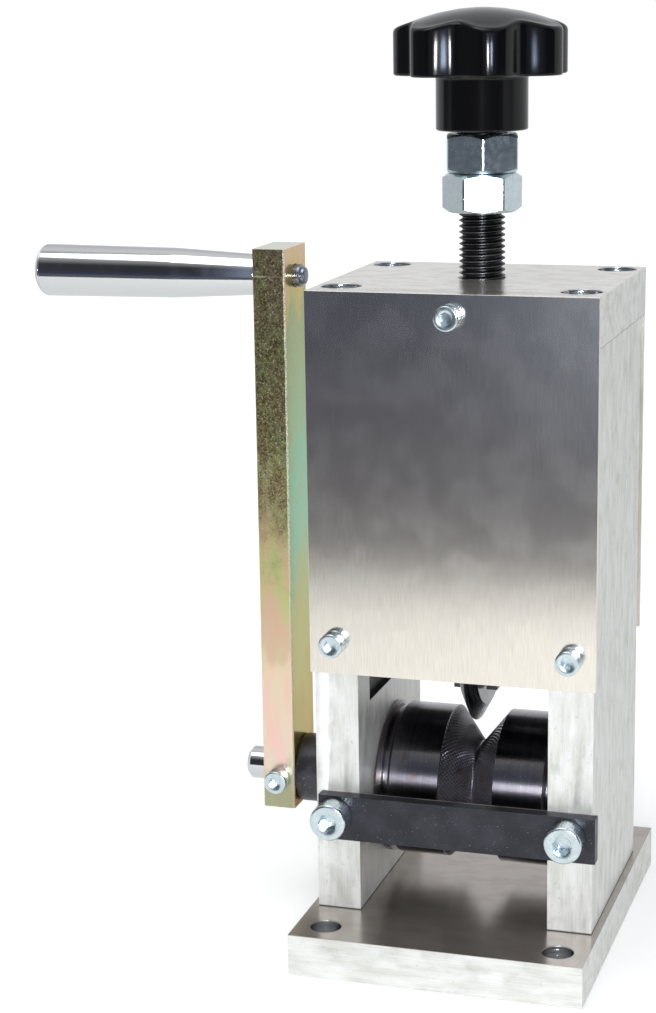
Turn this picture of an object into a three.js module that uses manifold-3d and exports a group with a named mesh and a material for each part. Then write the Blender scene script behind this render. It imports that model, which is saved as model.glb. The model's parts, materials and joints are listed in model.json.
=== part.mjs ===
// Hand crank wire stripper: a bench tool of bolted plates. A crank turns two rollers that form a V groove,
// and a round blade above the groove, held by a carriage on an M16 screw, slits the sheath of the wire.
// Millimetres, +Z up. X runs along the roller shaft (crank at -X), Y runs from the wire inlet to the outlet.
// The origin is the centre of the base plate's underside.

import * as THREE from "three";
import { mergeVertices } from "three/addons/utils/BufferGeometryUtils.js";
import Module from "manifold-3d";

const wasm = await Module();
wasm.setup();

// Clearances
const SEAM = 0.1; // between flat faces that are bolted together
const FIT = 0.25; // round a pin, screw or nut in its hole, on the radius
const RUN = 0.08; // round a turning shaft in its bush, on the radius
const SIDE_PLAY = 0.4; // beside a sliding or turning piece

// Base plate
const BASE_T = 14.5;
const SIDE_LEDGE = 2.5; // base plate past each side plate
const FRONT_LEDGE = 27.75; // base plate in front of the side plates
const REAR_LEDGE = 25.75; // and behind them
const BENCH_HOLE_D = 11; // clears an M10 bench bolt
const BENCH_HOLE_INSET = 10.5;

// Side plates
const BODY_W = 98; // over the outer faces of both side plates
const SIDE_T = 15.5;
const SIDE_D = 81;
const SIDE_H = 202.4;
const CHANNEL_DEEP = 2.5; // guide channel for the carriage, in each inner face

// Top plate
const TOP_T = 17;
const TOP_LIP = 1; // past each side plate
const TOP_REAR_LIP = 3; // behind the side plates, over the rear cover

// Covers
const COVER_T = 2;
const FRONT_COVER_H = 132.5;
const REAR_COVER_H = 115;
const COVER_SCREW_UP = 11; // above the cover's lower edge
const REAR_SCREW_DOWN = 30; // below the rear cover's upper edge
const TOP_SCREW_DOWN = 7.5; // cover screw below the top plate's upper face

// Guide bar across the wire inlet
const BAR_SHORTER = 0.2; // than the width over the side plates
const BAR_H = 16;
const BAR_T = 5;
const BAR_SHIFT = 2; // it sits off centre, towards +X
const BAR_ABOVE_BASE = 27.6;
const BAR_SCREW_UP = 8.7; // above the bar's lower edge

// Plate screws, M8, and cover screws, M5: head, socket and thread
const M8_D = 8;
const M8_HEAD_D = 13;
const M8_HEAD_H = 8;
const M8_SOCKET = 6;
const M8_LENGTH = 30;
const BAR_SCREW_LENGTH = 22;
const M8_COUNTERBORE_D = 14;
const M8_HEAD_SUNK = 2; // below the face of the counterbored plate
const PLATE_SCREW_SPREAD = 63; // along Y
const M5_D = 5;
const M5_HEAD_D = 8.5;
const M5_HEAD_H = 5;
const M5_SOCKET = 4;
const M5_LENGTH = 12;
const SOCKET_DEPTH = 0.55; // of the head's height

// Mechanism axis and rollers
const MECH_SETBACK = 43.5; // roller and blade axes behind the front of the side plates
const ROLLER_ABOVE_BASE = 35.7;
const ROLLER_D = 55;
const GROOVE_ROOT_D = 30;
const GROOVE_W = 20;
const FLANGE_W = 2.6;
const FLANGE_CHAMFER = 0.5;
const ROLLER_NECK_D = 51;
const ROLLER_NECK_W = 1.9; // turned groove between the flange and the cylinder
const ROLLER_CHAMFER = 1;
const KEY_W = 4;
const KEY_L = 40;
const KEY_IN_SHAFT = 2.5;
const KEY_OUT = 1.5;

// Shaft, bushes and collar
const SHAFT_D = 12;
const SHAFT_CHAMFER = 1.5;
const STUB_OUT = 9; // shaft past the crank arm
const BUSH_D = 18;
const BUSH_POCKET = 12; // blind bore in the right side plate
const COLLAR_D = 25;

// Crank arm and handle
const ARM_STANDOFF = 19; // between the left side plate and the arm
const ARM_T = 12;
const ARM_D = 24;
const THROW = 183;
const ARM_PAST_SHAFT = 12.5;
const ARM_PAST_HANDLE = 10.5;
const ARM_BEVEL = 0.5;
const CLAMP_SCREW_LENGTH = 5.5;
const CLAMP_SCREW_DROP = 1.5; // below the shaft's axis
const STUD_D = 8;
const STUD_END_D = 6;
const STUD_OUT = 4; // past the arm's inner face
const STUD_END_L = 1.5;
const STUD_SHOULDER_D = 11;
const STUD_SHOULDER_L = 0.6;
const STUD_HEAD_L = 3;
const HANDLE_L = 82.4;
const HANDLE_D_ARM = 14.5;
const HANDLE_D_WAIST = 18; // where the steeper taper ends
const HANDLE_D_END = 19;
const HANDLE_TAPER_L = 32;
const HANDLE_BEVEL = 0.5;
const HANDLE_POCKET_D = 13;
const HANDLE_POCKET_L = 8;
const CAP_T = 3;
const CAP_SPIGOT_L = 3;

// Blade
const BLADE_D = 58;
const BLADE_T = 6.4;
const BLADE_BEVEL = 5.9; // width of the ground edge, along the radius
const BLADE_GAP = 10.1; // edge above the groove's root, as photographed
const BLADE_BUSH_D = 15;
const AXLE_D = 10;
const AXLE_L = 44;
const WASHER_D = 20;
const WASHER_T = 0.6;

// Carriage
const CARRIAGE_PAST_BLADE = 0.1; // in front of the blade's edge and behind it
const CARRIAGE_BELOW_AXLE = 3.8;
const CARRIAGE_H = 52;
const TONGUE_W = 15.7;
const TONGUE_D = 20;
const TONGUE_L = 11.8;
const BLADE_HEADROOM = 1.5;
const NECK_D = 10; // turned neck of the adjusting screw, in the carriage's T slot
const NECK_L = 5;
const FOOT_D = 15;
const FOOT_L = 5;
const GRUB_D = 5;
const GRUB_L = 10;
const GRUB_INSET = 6; // in from the axle's end
const STROKE_DOWN = 9;
const CHANNEL_PAST = 4; // the side plates' channels go on below the carriage's lowest place

// Adjusting screw, nuts and knob
const SCREW_D = 16;
const SCREW_IN_KNOB = 24;
const NUT_AF = 24;
const NUT_H = 13.1;
const NUT_CHAMFER = 1.3;
const NUT_ABOVE_TOP = 22.8;
const NUT_PLAY = 0.3;
const LOCK_NUT_TURN = 0.812; // radians, from a corner towards the inlet
const JAM_NUT_TURN = 0.267;
const HUB_D = 31.5;
const KNOB_GAP = 1.1; // between the jam nut and the knob
const HUB_H = 18.4;
const KNOB_D = 60.6;
const KNOB_LOBES = 7;
const LOBE_DEEP = 5.2; // from lobe tip to the bottom of a hollow
const LOBE_FULLNESS = 1.3; // over 1, the lobes are wider than the hollows
const LOBE_H = 15.3; // upright side of a lobe
const DOME_H = 7.2;
const KNOB_TURN = 0.57; // radians

// Places that follow from the sizes
const baseW = BODY_W + 2 * SIDE_LEDGE;
const baseD = FRONT_LEDGE + SIDE_D + REAR_LEDGE;
const baseTop = BASE_T;
const sideLow = baseTop + SEAM;
const sideTop = sideLow + SIDE_H;
const topLow = sideTop + SEAM;
const top = topLow + TOP_T;
const bodyFront = -baseD / 2 + FRONT_LEDGE;
const bodyRear = bodyFront + SIDE_D;
const innerX = BODY_W / 2 - SIDE_T;
const screwX = BODY_W / 2 - SIDE_T / 2;
const channelX = innerX + CHANNEL_DEEP;
const mechY = bodyFront + MECH_SETBACK;
const rollerZ = baseTop + ROLLER_ABOVE_BASE;
const coverW = BODY_W + 2 * TOP_LIP;
const frontCoverLow = top - FRONT_COVER_H;
const rearCoverTop = topLow - SEAM;
const rearCoverLow = rearCoverTop - REAR_COVER_H;
const barFront = bodyFront - SEAM - BAR_T;
const barLow = baseTop + BAR_ABOVE_BASE;
const barScrewZ = barLow + BAR_SCREW_UP;
const armIn = -BODY_W / 2 - ARM_STANDOFF;
const armOut = armIn - ARM_T;
const bladeZ = rollerZ + GROOVE_ROOT_D / 2 + BLADE_GAP + BLADE_D / 2;
const carriageLow = bladeZ - CARRIAGE_BELOW_AXLE;
const carriageTop = carriageLow + CARRIAGE_H;
const carriageD = BLADE_D + 2 * CARRIAGE_PAST_BLADE;
const channelLow = carriageLow - STROKE_DOWN - CHANNEL_PAST;
const slotHalf = BLADE_T / 2 + WASHER_T + 2 * RUN;
const lockNutLow = top + NUT_ABOVE_TOP;
const jamNutLow = lockNutLow + NUT_H + NUT_PLAY;
const knobLow = jamNutLow + NUT_H + KNOB_GAP;
const plateScrewY = [mechY - PLATE_SCREW_SPREAD / 2, mechY + PLATE_SCREW_SPREAD / 2];

const FINE = 40; // sides of the large round pieces
const ROUND = 24; // sides of bores and small round pieces
const COARSE = 16; // sides of screws and their holes

// Solids

// A closed three.js geometry as a solid that can be cut and joined.
function solid(geometry) {
  const bare = geometry.index ? geometry.toNonIndexed() : geometry.clone();
  bare.deleteAttribute("normal");
  bare.deleteAttribute("uv");
  const merged = mergeVertices(bare, 1e-4);
  const vertProperties = new Float32Array(merged.attributes.position.array);
  const triVerts = new Uint32Array(merged.index.array);
  return new wasm.Manifold(new wasm.Mesh({ numProp: 3, vertProperties, triVerts }));
}

// A solid back as a three.js geometry with flat faces.
function geometryOf(body) {
  const made = body.getMesh();
  const indexed = new THREE.BufferGeometry();
  indexed.setAttribute("position", new THREE.BufferAttribute(made.vertProperties, 3));
  indexed.setIndex(new THREE.BufferAttribute(made.triVerts, 1));
  const flat = indexed.toNonIndexed();
  flat.computeVertexNormals();
  return flat;
}

// A box between two corners.
function box(x0, x1, y0, y1, z0, z1) {
  const g = new THREE.BoxGeometry(x1 - x0, y1 - y0, z1 - z0);
  g.translate((x0 + x1) / 2, (y0 + y1) / 2, (z0 + z1) / 2);
  return solid(g);
}

// A profile of [radius, height] pairs, starting and ending on the axis, turned about Z.
function turned(profile, sides) {
  const points = profile.map(([r, h]) => new THREE.Vector2(r, h));
  const g = new THREE.LatheGeometry(points, sides);
  g.rotateX(Math.PI / 2);
  return g;
}

// Turned geometry laid along X, its heights becoming X.
function turnedX(profile, sides) {
  const g = turned(profile, sides);
  g.rotateY(Math.PI / 2);
  return g;
}

// Cylinders between two heights on an axis parallel to Z, Y or X.
function rod(r, low, high) {
  return [[0, low], [r, low], [r, high], [0, high]];
}
function cylinderZ(d, x, y, z0, z1, sides = COARSE) {
  const g = turned(rod(d / 2, z0, z1), sides);
  g.translate(x, y, 0);
  return solid(g);
}
function cylinderY(d, x, z, y0, y1, sides = COARSE) {
  const g = turned(rod(d / 2, -y1, -y0), sides);
  g.rotateX(Math.PI / 2);
  g.translate(x, 0, z);
  return solid(g);
}
function cylinderX(d, y, z, x0, x1, sides = ROUND) {
  const g = turnedX(rod(d / 2, x0, x1), sides);
  g.translate(0, y, z);
  return solid(g);
}

// Takes each of the cutters away from a body.
function cut(body, cutters) {
  return cutters.reduce((left, cutter) => left.subtract(cutter), body);
}

// A hexagonal prism along Z, across flats af.
function hexagon(af, z0, z1) {
  const g = new THREE.CylinderGeometry(af / Math.sqrt(3), af / Math.sqrt(3), z1 - z0, 6);
  g.rotateX(Math.PI / 2);
  g.translate(0, 0, (z0 + z1) / 2);
  return solid(g);
}

// Materials
function metal(color, roughness, metalness = 1) {
  return new THREE.MeshStandardMaterial({ color, roughness, metalness });
}
const aluminium = () => metal(0xb9bab6, 0.5);
const stainless = () => metal(0xa9adb0, 0.35);
const blackSteel = () => metal(0x1c1c1e, 0.35);
const brightZinc = () => metal(0xc4ccd2, 0.25);
const chromate = () => metal(0xb09a5c, 0.35);
const chrome = () => metal(0xd0d2d4, 0.08);
const bronze = () => metal(0xa8763e, 0.4);
const toolSteel = () => metal(0x8f9194, 0.25);
const plastic = () => metal(0x101012, 0.15, 0);

function piece(name, geometry, material) {
  const mesh = new THREE.Mesh(geometry, material);
  mesh.name = name;
  return mesh;
}

// Socket head cap screw: the head stands on z = 0 and the thread runs down.
function capScrew(d, headD, headH, socket, length) {
  const bevel = headH * 0.08;
  const profile = [
    [0, -length],
    [d / 2 - bevel, -length],
    [d / 2, -length + bevel],
    [d / 2, 0],
    [headD / 2, 0],
    [headD / 2, headH - bevel],
    [headD / 2 - bevel, headH],
    [0, headH],
  ];
  const socketCut = hexagon(socket, headH * (1 - SOCKET_DEPTH), headH + 1);
  return geometryOf(solid(turned(profile, COARSE)).subtract(socketCut));
}
const m8 = (length) => capScrew(M8_D, M8_HEAD_D, M8_HEAD_H, M8_SOCKET, length);
const m5 = (length) => capScrew(M5_D, M5_HEAD_D, M5_HEAD_H, M5_SOCKET, length);

// Turns a piece made along +Z to face another way.
const FACING = { front: Math.PI / 2, rear: -Math.PI / 2, up: 0, down: Math.PI };
function place(mesh, x, y, z, facing) {
  mesh.position.set(x, y, z);
  mesh.rotation.x = FACING[facing];
  return mesh;
}

// Frame: plates, covers, guide bar, bushes and their screws
const frame = new THREE.Group();
const sides = [["left", -1], ["right", 1]];
const ends = [["front", 0], ["rear", 1]];
const screwHole = M8_D + 2 * FIT;
const tapped = (length) => length + 2;

function basePlate() {
  const holeX = baseW / 2 - BENCH_HOLE_INSET;
  const holeY = baseD / 2 - BENCH_HOLE_INSET;
  const cutters = [];
  for (const [, sx] of sides) {
    for (const sy of [-1, 1]) {
      cutters.push(cylinderZ(BENCH_HOLE_D, sx * holeX, sy * holeY, -1, baseTop + 1, ROUND));
    }
    for (const y of plateScrewY) {
      cutters.push(cylinderZ(screwHole, sx * screwX, y, -1, baseTop + 1));
      cutters.push(cylinderZ(M8_COUNTERBORE_D, sx * screwX, y, -1, M8_HEAD_H + M8_HEAD_SUNK, ROUND));
    }
  }
  return cut(box(-baseW / 2, baseW / 2, -baseD / 2, baseD / 2, 0, baseTop), cutters);
}

function topPlate() {
  const cutters = [cylinderZ(SCREW_D + 2 * FIT, 0, mechY, topLow - 1, top + 1, ROUND)];
  for (const [, sx] of sides) {
    for (const y of plateScrewY) {
      cutters.push(cylinderZ(screwHole, sx * screwX, y, topLow - 1, top + 1));
      const seat = top - M8_HEAD_H - M8_HEAD_SUNK;
      cutters.push(cylinderZ(M8_COUNTERBORE_D, sx * screwX, y, seat, top + 1, ROUND));
    }
  }
  const reach = bodyFront + tapped(M5_LENGTH);
  cutters.push(cylinderY(M5_D + 2 * FIT, 0, top - TOP_SCREW_DOWN, bodyFront - 1, reach));
  return cut(box(-coverW / 2, coverW / 2, bodyFront, bodyRear + TOP_REAR_LIP, topLow, top), cutters);
}

// One side plate: sx is -1 for the crank side, +1 for the other, where the shaft's bore is blind.
function sidePlate(sx) {
  const outer = (sx * BODY_W) / 2;
  const inner = sx * innerX;
  const span = (a, b) => [Math.min(a, b), Math.max(a, b)];
  const blank = box(...span(outer, inner), bodyFront, bodyRear, sideLow, sideTop);
  const half = carriageD / 2 + SIDE_PLAY;
  const channelSpan = span(inner - sx, sx * channelX);
  const cutters = [box(...channelSpan, mechY - half, mechY + half, channelLow, sideTop + 1)];
  const bushEnd = sx < 0 ? outer + sx : inner + sx * BUSH_POCKET;
  cutters.push(cylinderX(BUSH_D + 2 * FIT, mechY, rollerZ, ...span(inner - sx, bushEnd)));
  const x = sx * screwX;
  const plateReach = tapped(M8_LENGTH - BASE_T + M8_HEAD_H + M8_HEAD_SUNK);
  for (const y of plateScrewY) {
    cutters.push(cylinderZ(screwHole, x, y, sideLow - 1, sideLow + plateReach));
    cutters.push(cylinderZ(screwHole, x, y, sideTop - tapped(M8_LENGTH), sideTop + 1));
  }
  const coverHole = M5_D + 2 * FIT;
  const coverReach = tapped(M5_LENGTH);
  cutters.push(cylinderY(screwHole, x, barScrewZ, bodyFront - 1, bodyFront + tapped(BAR_SCREW_LENGTH)));
  const frontScrewZ = frontCoverLow + COVER_SCREW_UP;
  cutters.push(cylinderY(coverHole, x, frontScrewZ, bodyFront - 1, bodyFront + coverReach));
  for (const z of rearScrewZ) {
    cutters.push(cylinderY(coverHole, x, z, bodyRear - coverReach, bodyRear + 1));
  }
  return cut(blank, cutters);
}

const rearScrewZ = [rearCoverLow + COVER_SCREW_UP, rearCoverTop - REAR_SCREW_DOWN];
const frontCoverScrews = [
  ["front_cover_screw_left", -screwX, frontCoverLow + COVER_SCREW_UP],
  ["front_cover_screw_right", screwX, frontCoverLow + COVER_SCREW_UP],
  ["front_cover_screw_top", 0, top - TOP_SCREW_DOWN],
];
const rearCoverScrews = sides.flatMap(([side, sx]) => [
  ["rear_cover_screw_" + side + "_low", sx * screwX, rearScrewZ[0]],
  ["rear_cover_screw_" + side + "_high", sx * screwX, rearScrewZ[1]],
]);

// A sheet between two depths and heights, with a screw hole at each of the given places.
function cover(y0, y1, z0, z1, screws) {
  const sheet = box(-coverW / 2, coverW / 2, y0, y1, z0, z1);
  return cut(sheet, screws.map(([, x, z]) => cylinderY(M5_D + 2 * FIT, x, z, y0 - 1, y1 + 1)));
}

function guideBar() {
  const half = (BODY_W - BAR_SHORTER) / 2;
  const [x0, x1] = [BAR_SHIFT - half, BAR_SHIFT + half];
  const bar = box(x0, x1, barFront, bodyFront - SEAM, barLow, barLow + BAR_H);
  const hole = (x) => cylinderY(screwHole, x, barScrewZ, barFront - 1, bodyFront + 1);
  return cut(bar, sides.map(([, sx]) => hole(sx * screwX)));
}

// A plain bush along X between two places, bored for the shaft.
function bush(x0, x1) {
  const outer = cylinderX(BUSH_D, mechY, rollerZ, x0, x1);
  return outer.subtract(cylinderX(SHAFT_D + 2 * RUN, mechY, rollerZ, x0 - 1, x1 + 1, ROUND));
}

frame.add(piece("base_plate", geometryOf(basePlate()), aluminium()));
for (const [side, sx] of sides) {
  frame.add(piece("side_plate_" + side, geometryOf(sidePlate(sx)), aluminium()));
}
frame.add(piece("top_plate", geometryOf(topPlate()), aluminium()));
const frontCover = [bodyFront - SEAM - COVER_T, bodyFront - SEAM, frontCoverLow, top];
const rearCover = [bodyRear + SEAM, bodyRear + SEAM + COVER_T, rearCoverLow, rearCoverTop];
frame.add(piece("front_cover", geometryOf(cover(...frontCover, frontCoverScrews)), stainless()));
frame.add(piece("rear_cover", geometryOf(cover(...rearCover, rearCoverScrews)), stainless()));
frame.add(piece("guide_bar", geometryOf(guideBar()), blackSteel()));
frame.add(piece("shaft_bush_left", geometryOf(bush(-BODY_W / 2 + SEAM, -innerX - SEAM)), bronze()));
frame.add(piece("shaft_bush_right", geometryOf(bush(innerX + SEAM, innerX + BUSH_POCKET - SEAM)), bronze()));

for (const [name, x, z] of frontCoverScrews) {
  const screw = piece(name, m5(M5_LENGTH), brightZinc());
  frame.add(place(screw, x, bodyFront - 2 * SEAM - COVER_T, z, "front"));
}
for (const [name, x, z] of rearCoverScrews) {
  const screw = piece(name, m5(M5_LENGTH), brightZinc());
  frame.add(place(screw, x, bodyRear + 2 * SEAM + COVER_T, z, "rear"));
}
for (const [side, sx] of sides) {
  const barScrew = piece("guide_bar_screw_" + side, m8(BAR_SCREW_LENGTH), brightZinc());
  frame.add(place(barScrew, sx * screwX, barFront - SEAM, barScrewZ, "front"));
  for (const [end, i] of ends) {
    const upper = piece("top_screw_" + end + "_" + side, m8(M8_LENGTH), brightZinc());
    const seatTop = top - M8_HEAD_H - M8_HEAD_SUNK + SEAM;
    frame.add(place(upper, sx * screwX, plateScrewY[i], seatTop, "up"));
    const lower = piece("base_screw_" + end + "_" + side, m8(M8_LENGTH), brightZinc());
    frame.add(place(lower, sx * screwX, plateScrewY[i], M8_HEAD_H + M8_HEAD_SUNK - SEAM, "down"));
  }
}

// Drive: everything fixed to the roller shaft, made about the shaft's axis along X
const drive = new THREE.Group();
drive.position.set(0, mechY, rollerZ);
const shaftLeft = armOut - STUB_OUT;
const shaftRight = innerX + BUSH_POCKET - SEAM;
const onShaft = SHAFT_D + 2 * RUN;

// A keyway box; grown adds clearance on its sides and top.
function key(grown) {
  const half = KEY_W / 2 + grown;
  const low = SHAFT_D / 2 - KEY_IN_SHAFT - grown;
  return box(-KEY_L / 2 - grown, KEY_L / 2 + grown, -half, half, low, SHAFT_D / 2 + KEY_OUT + grown);
}

function driveShaft() {
  const r = SHAFT_D / 2;
  const c = SHAFT_CHAMFER;
  const profile = [
    [0, shaftLeft],
    [r - c, shaftLeft],
    [r, shaftLeft + c],
    [r, shaftRight - c],
    [r - c, shaftRight],
    [0, shaftRight],
  ];
  return solid(turnedX(profile, ROUND)).subtract(key(FIT));
}

// One roller half: a flange, a neck, a cylinder and the cone that is one flank of the V groove.
function roller(sx) {
  const outside = innerX - SIDE_PLAY;
  const flangeIn = outside - FLANGE_W;
  const step = flangeIn - ROLLER_NECK_W;
  const profile = [
    [0, SEAM / 2],
    [GROOVE_ROOT_D / 2, SEAM / 2],
    [ROLLER_D / 2, GROOVE_W / 2],
    [ROLLER_D / 2, step - ROLLER_CHAMFER],
    [ROLLER_D / 2 - ROLLER_CHAMFER, step],
    [ROLLER_NECK_D / 2, step],
    [ROLLER_NECK_D / 2, flangeIn],
    [ROLLER_D / 2, flangeIn],
    [ROLLER_D / 2, outside - FLANGE_CHAMFER],
    [ROLLER_D / 2 - FLANGE_CHAMFER, outside],
    [0, outside],
  ];
  const right = turnedX(profile, FINE);
  if (sx < 0) right.rotateZ(Math.PI);
  const bored = solid(right).subtract(cylinderX(onShaft, 0, 0, -outside - 1, outside + 1, ROUND));
  return bored.subtract(key(FIT));
}

function crankArm() {
  const half = ARM_D / 2;
  const low = -ARM_PAST_SHAFT;
  const high = THROW + ARM_PAST_HANDLE;
  const outline = new THREE.Shape();
  const x0 = armOut + ARM_BEVEL;
  const x1 = armIn - ARM_BEVEL;
  outline.moveTo(x0, -half);
  outline.lineTo(x1, -half);
  outline.lineTo(armIn, -half + ARM_BEVEL);
  outline.lineTo(armIn, half - ARM_BEVEL);
  outline.lineTo(x1, half);
  outline.lineTo(x0, half);
  outline.lineTo(armOut, half - ARM_BEVEL);
  outline.lineTo(armOut, -half + ARM_BEVEL);
  outline.closePath();
  const bar = new THREE.ExtrudeGeometry(outline, { depth: high - low, bevelEnabled: false });
  bar.translate(0, 0, low);
  return cut(solid(bar), [
    cylinderX(onShaft, 0, 0, armOut - 1, armIn + 1, ROUND),
    cylinderX(STUD_D + 2 * FIT, 0, THROW, armOut - 1, armIn + 1),
    cylinderY(M5_D + 2 * FIT, (armIn + armOut) / 2, -CLAMP_SCREW_DROP, -half - 1, 0),
  ]);
}

function handleStud() {
  const r = STUD_D / 2;
  const inner = armIn + STUD_OUT;
  const shoulder = armOut - SEAM;
  const headLow = handleOut + HANDLE_POCKET_L - SEAM;
  const profile = [
    [0, headLow - STUD_HEAD_L],
    [STUD_SHOULDER_D / 2, headLow - STUD_HEAD_L],
    [STUD_SHOULDER_D / 2, headLow],
    [r, headLow],
    [r, shoulder - STUD_SHOULDER_L],
    [STUD_SHOULDER_D / 2, shoulder - STUD_SHOULDER_L],
    [STUD_SHOULDER_D / 2, shoulder],
    [r, shoulder],
    [r, inner - STUD_END_L],
    [STUD_END_D / 2, inner - STUD_END_L],
    [STUD_END_D / 2, inner],
    [0, inner],
  ];
  return turnedX(profile, ROUND);
}

const handleIn = armOut - SEAM - STUD_SHOULDER_L - SIDE_PLAY;
const handleOut = handleIn - HANDLE_L;

drive.add(piece("drive_shaft", geometryOf(driveShaft()), chrome()));
drive.add(piece("roller_key", geometryOf(key(0)), blackSteel()));
for (const [side, sx] of sides) {
  drive.add(piece("feed_roller_" + side, geometryOf(roller(sx)), blackSteel()));
}
const collar = solid(turnedX(rod(COLLAR_D / 2, armIn + FIT, -BODY_W / 2 - FIT), FINE));
const collarBore = cylinderX(onShaft, 0, 0, armIn - 1, -BODY_W / 2 + 1, ROUND);
drive.add(piece("shaft_collar", geometryOf(collar.subtract(collarBore)), blackSteel()));
drive.add(piece("crank_arm", geometryOf(crankArm()), chromate()));
const clampScrew = piece("crank_clamp_screw", m5(CLAMP_SCREW_LENGTH), brightZinc());
drive.add(place(clampScrew, (armIn + armOut) / 2, -ARM_D / 2 - SEAM, -CLAMP_SCREW_DROP, "front"));
const stud = piece("handle_stud", handleStud(), chrome());
stud.position.z = THROW;
drive.add(stud);

// Handle: turns on the stud, made about the stud's axis
const handle = new THREE.Group();
handle.position.set(0, mechY, rollerZ + THROW);

function handleGrip() {
  const profile = [
    [0, handleOut],
    [HANDLE_D_END / 2, handleOut],
    [HANDLE_D_WAIST / 2, handleIn - HANDLE_TAPER_L],
    [HANDLE_D_ARM / 2, handleIn - HANDLE_BEVEL],
    [HANDLE_D_ARM / 2 - HANDLE_BEVEL, handleIn],
    [0, handleIn],
  ];
  return cut(solid(turnedX(profile, FINE)), [
    cylinderX(STUD_D + 2 * FIT, 0, 0, handleOut - 1, handleIn + 1),
    cylinderX(HANDLE_POCKET_D, 0, 0, handleOut - 1, handleOut + HANDLE_POCKET_L),
  ]);
}

// The domed end cap, with a spigot in the grip's pocket.
function handleCap() {
  const r = HANDLE_D_END / 2;
  const face = handleOut - SEAM;
  const spigot = HANDLE_POCKET_D / 2 - FIT;
  const arc = [0, 1, 2, 3].map((i) => {
    const a = (i / 3) * (Math.PI / 2);
    return [r - CAP_T * (1 - Math.sin(a)), face - CAP_T * Math.cos(a)];
  });
  const end = face + CAP_SPIGOT_L;
  return turnedX([[0, face - CAP_T], ...arc, [spigot, face], [spigot, end], [0, end]], FINE);
}

handle.add(piece("handle_grip", geometryOf(handleGrip()), chrome()));
handle.add(piece("handle_cap", handleCap(), chrome()));

// Blade, made about its axle along X
const blade = new THREE.Group();
blade.position.set(0, mechY, bladeZ);

function cuttingBlade() {
  const r = BLADE_D / 2;
  const flat = r - BLADE_BEVEL;
  const profile = [
    [0, -BLADE_T / 2],
    [flat, -BLADE_T / 2],
    [r, 0],
    [flat, BLADE_T / 2],
    [0, BLADE_T / 2],
  ];
  const bore = cylinderX(BLADE_BUSH_D + 2 * RUN, 0, 0, -BLADE_T, BLADE_T);
  return solid(turnedX(profile, FINE)).subtract(bore);
}

function bladeBush() {
  const half = BLADE_T / 2;
  const ring = cylinderX(BLADE_BUSH_D, 0, 0, -half, half);
  return ring.subtract(cylinderX(AXLE_D + 2 * RUN, 0, 0, -BLADE_T, BLADE_T, ROUND));
}

blade.add(piece("cutting_blade", geometryOf(cuttingBlade()), toolSteel()));
blade.add(piece("blade_bush", geometryOf(bladeBush()), bronze()));

// Carriage: the block that slides in the side plates' channels and holds the blade's axle
const carriage = new THREE.Group();
carriage.position.set(0, mechY, 0);
const footTop = carriageTop - NECK_L - FIT;
const grubX = AXLE_L / 2 - GRUB_INSET;

function carriageBlock() {
  const halfW = channelX - SIDE_PLAY;
  const halfD = carriageD / 2;
  const block = box(-halfW, halfW, -halfD, halfD, carriageLow, carriageTop);
  const tongue = box(
    -TONGUE_W / 2, TONGUE_W / 2, -TONGUE_D / 2, TONGUE_D / 2, carriageLow - TONGUE_L, carriageLow + 1,
  );
  const slotTop = bladeZ + BLADE_D / 2 + BLADE_HEADROOM;
  const neck = NECK_D / 2 + FIT;
  const foot = FOOT_D / 2 + FIT;
  return cut(block.add(tongue), [
    box(-slotHalf, slotHalf, -halfD - 1, halfD + 1, carriageLow - TONGUE_L - 1, slotTop),
    cylinderX(AXLE_D + 2 * FIT, 0, bladeZ, -AXLE_L / 2 - FIT, halfW + 1),
    cylinderY(GRUB_D + 2 * FIT, grubX, bladeZ, -halfD - 1, 0),
    box(-neck, neck, -halfD - 1, neck, footTop - 1, carriageTop + 1),
    box(-foot, foot, -halfD - 1, foot, footTop - FOOT_L - FIT, footTop + FIT / 2),
  ]);
}

function washer(sx) {
  const near = (sx * BLADE_T) / 2 + sx * RUN;
  const far = near + sx * WASHER_T;
  const [x0, x1] = [Math.min(near, far), Math.max(near, far)];
  const disc = cylinderX(WASHER_D, 0, bladeZ, x0, x1);
  return disc.subtract(cylinderX(AXLE_D + 2 * FIT, 0, bladeZ, x0 - 1, x1 + 1));
}

carriage.add(piece("carriage_block", geometryOf(carriageBlock()), blackSteel()));
const axle = turnedX(rod(AXLE_D / 2, -AXLE_L / 2, AXLE_L / 2), ROUND);
axle.translate(0, 0, bladeZ);
carriage.add(piece("blade_axle", axle, toolSteel()));
const grubGap = AXLE_D / 2 + SEAM;
const grub = turned(rod(GRUB_D / 2, grubGap, grubGap + GRUB_L), COARSE);
const grubPiece = piece("axle_grub_screw", grub, blackSteel());
carriage.add(place(grubPiece, grubX, 0, bladeZ, "front"));
for (const [side, sx] of sides) {
  carriage.add(piece("blade_washer_" + side, geometryOf(washer(sx)), bronze()));
}

// Screw: turns in the carriage's T slot and in the top plate's thread, made about its own axis
const screw = new THREE.Group();
screw.position.set(0, mechY, 0);

function adjustingScrew() {
  const r = SCREW_D / 2;
  const end = knobLow + SCREW_IN_KNOB;
  const shoulder = carriageTop + FIT;
  const bevel = 1;
  const profile = [
    [0, footTop - FOOT_L],
    [FOOT_D / 2, footTop - FOOT_L],
    [FOOT_D / 2, footTop - FIT / 2],
    [NECK_D / 2, footTop - FIT / 2],
    [NECK_D / 2, shoulder],
    [r, shoulder],
    [r, end - bevel],
    [r - bevel, end],
    [0, end],
  ];
  return turned(profile, ROUND);
}

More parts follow.
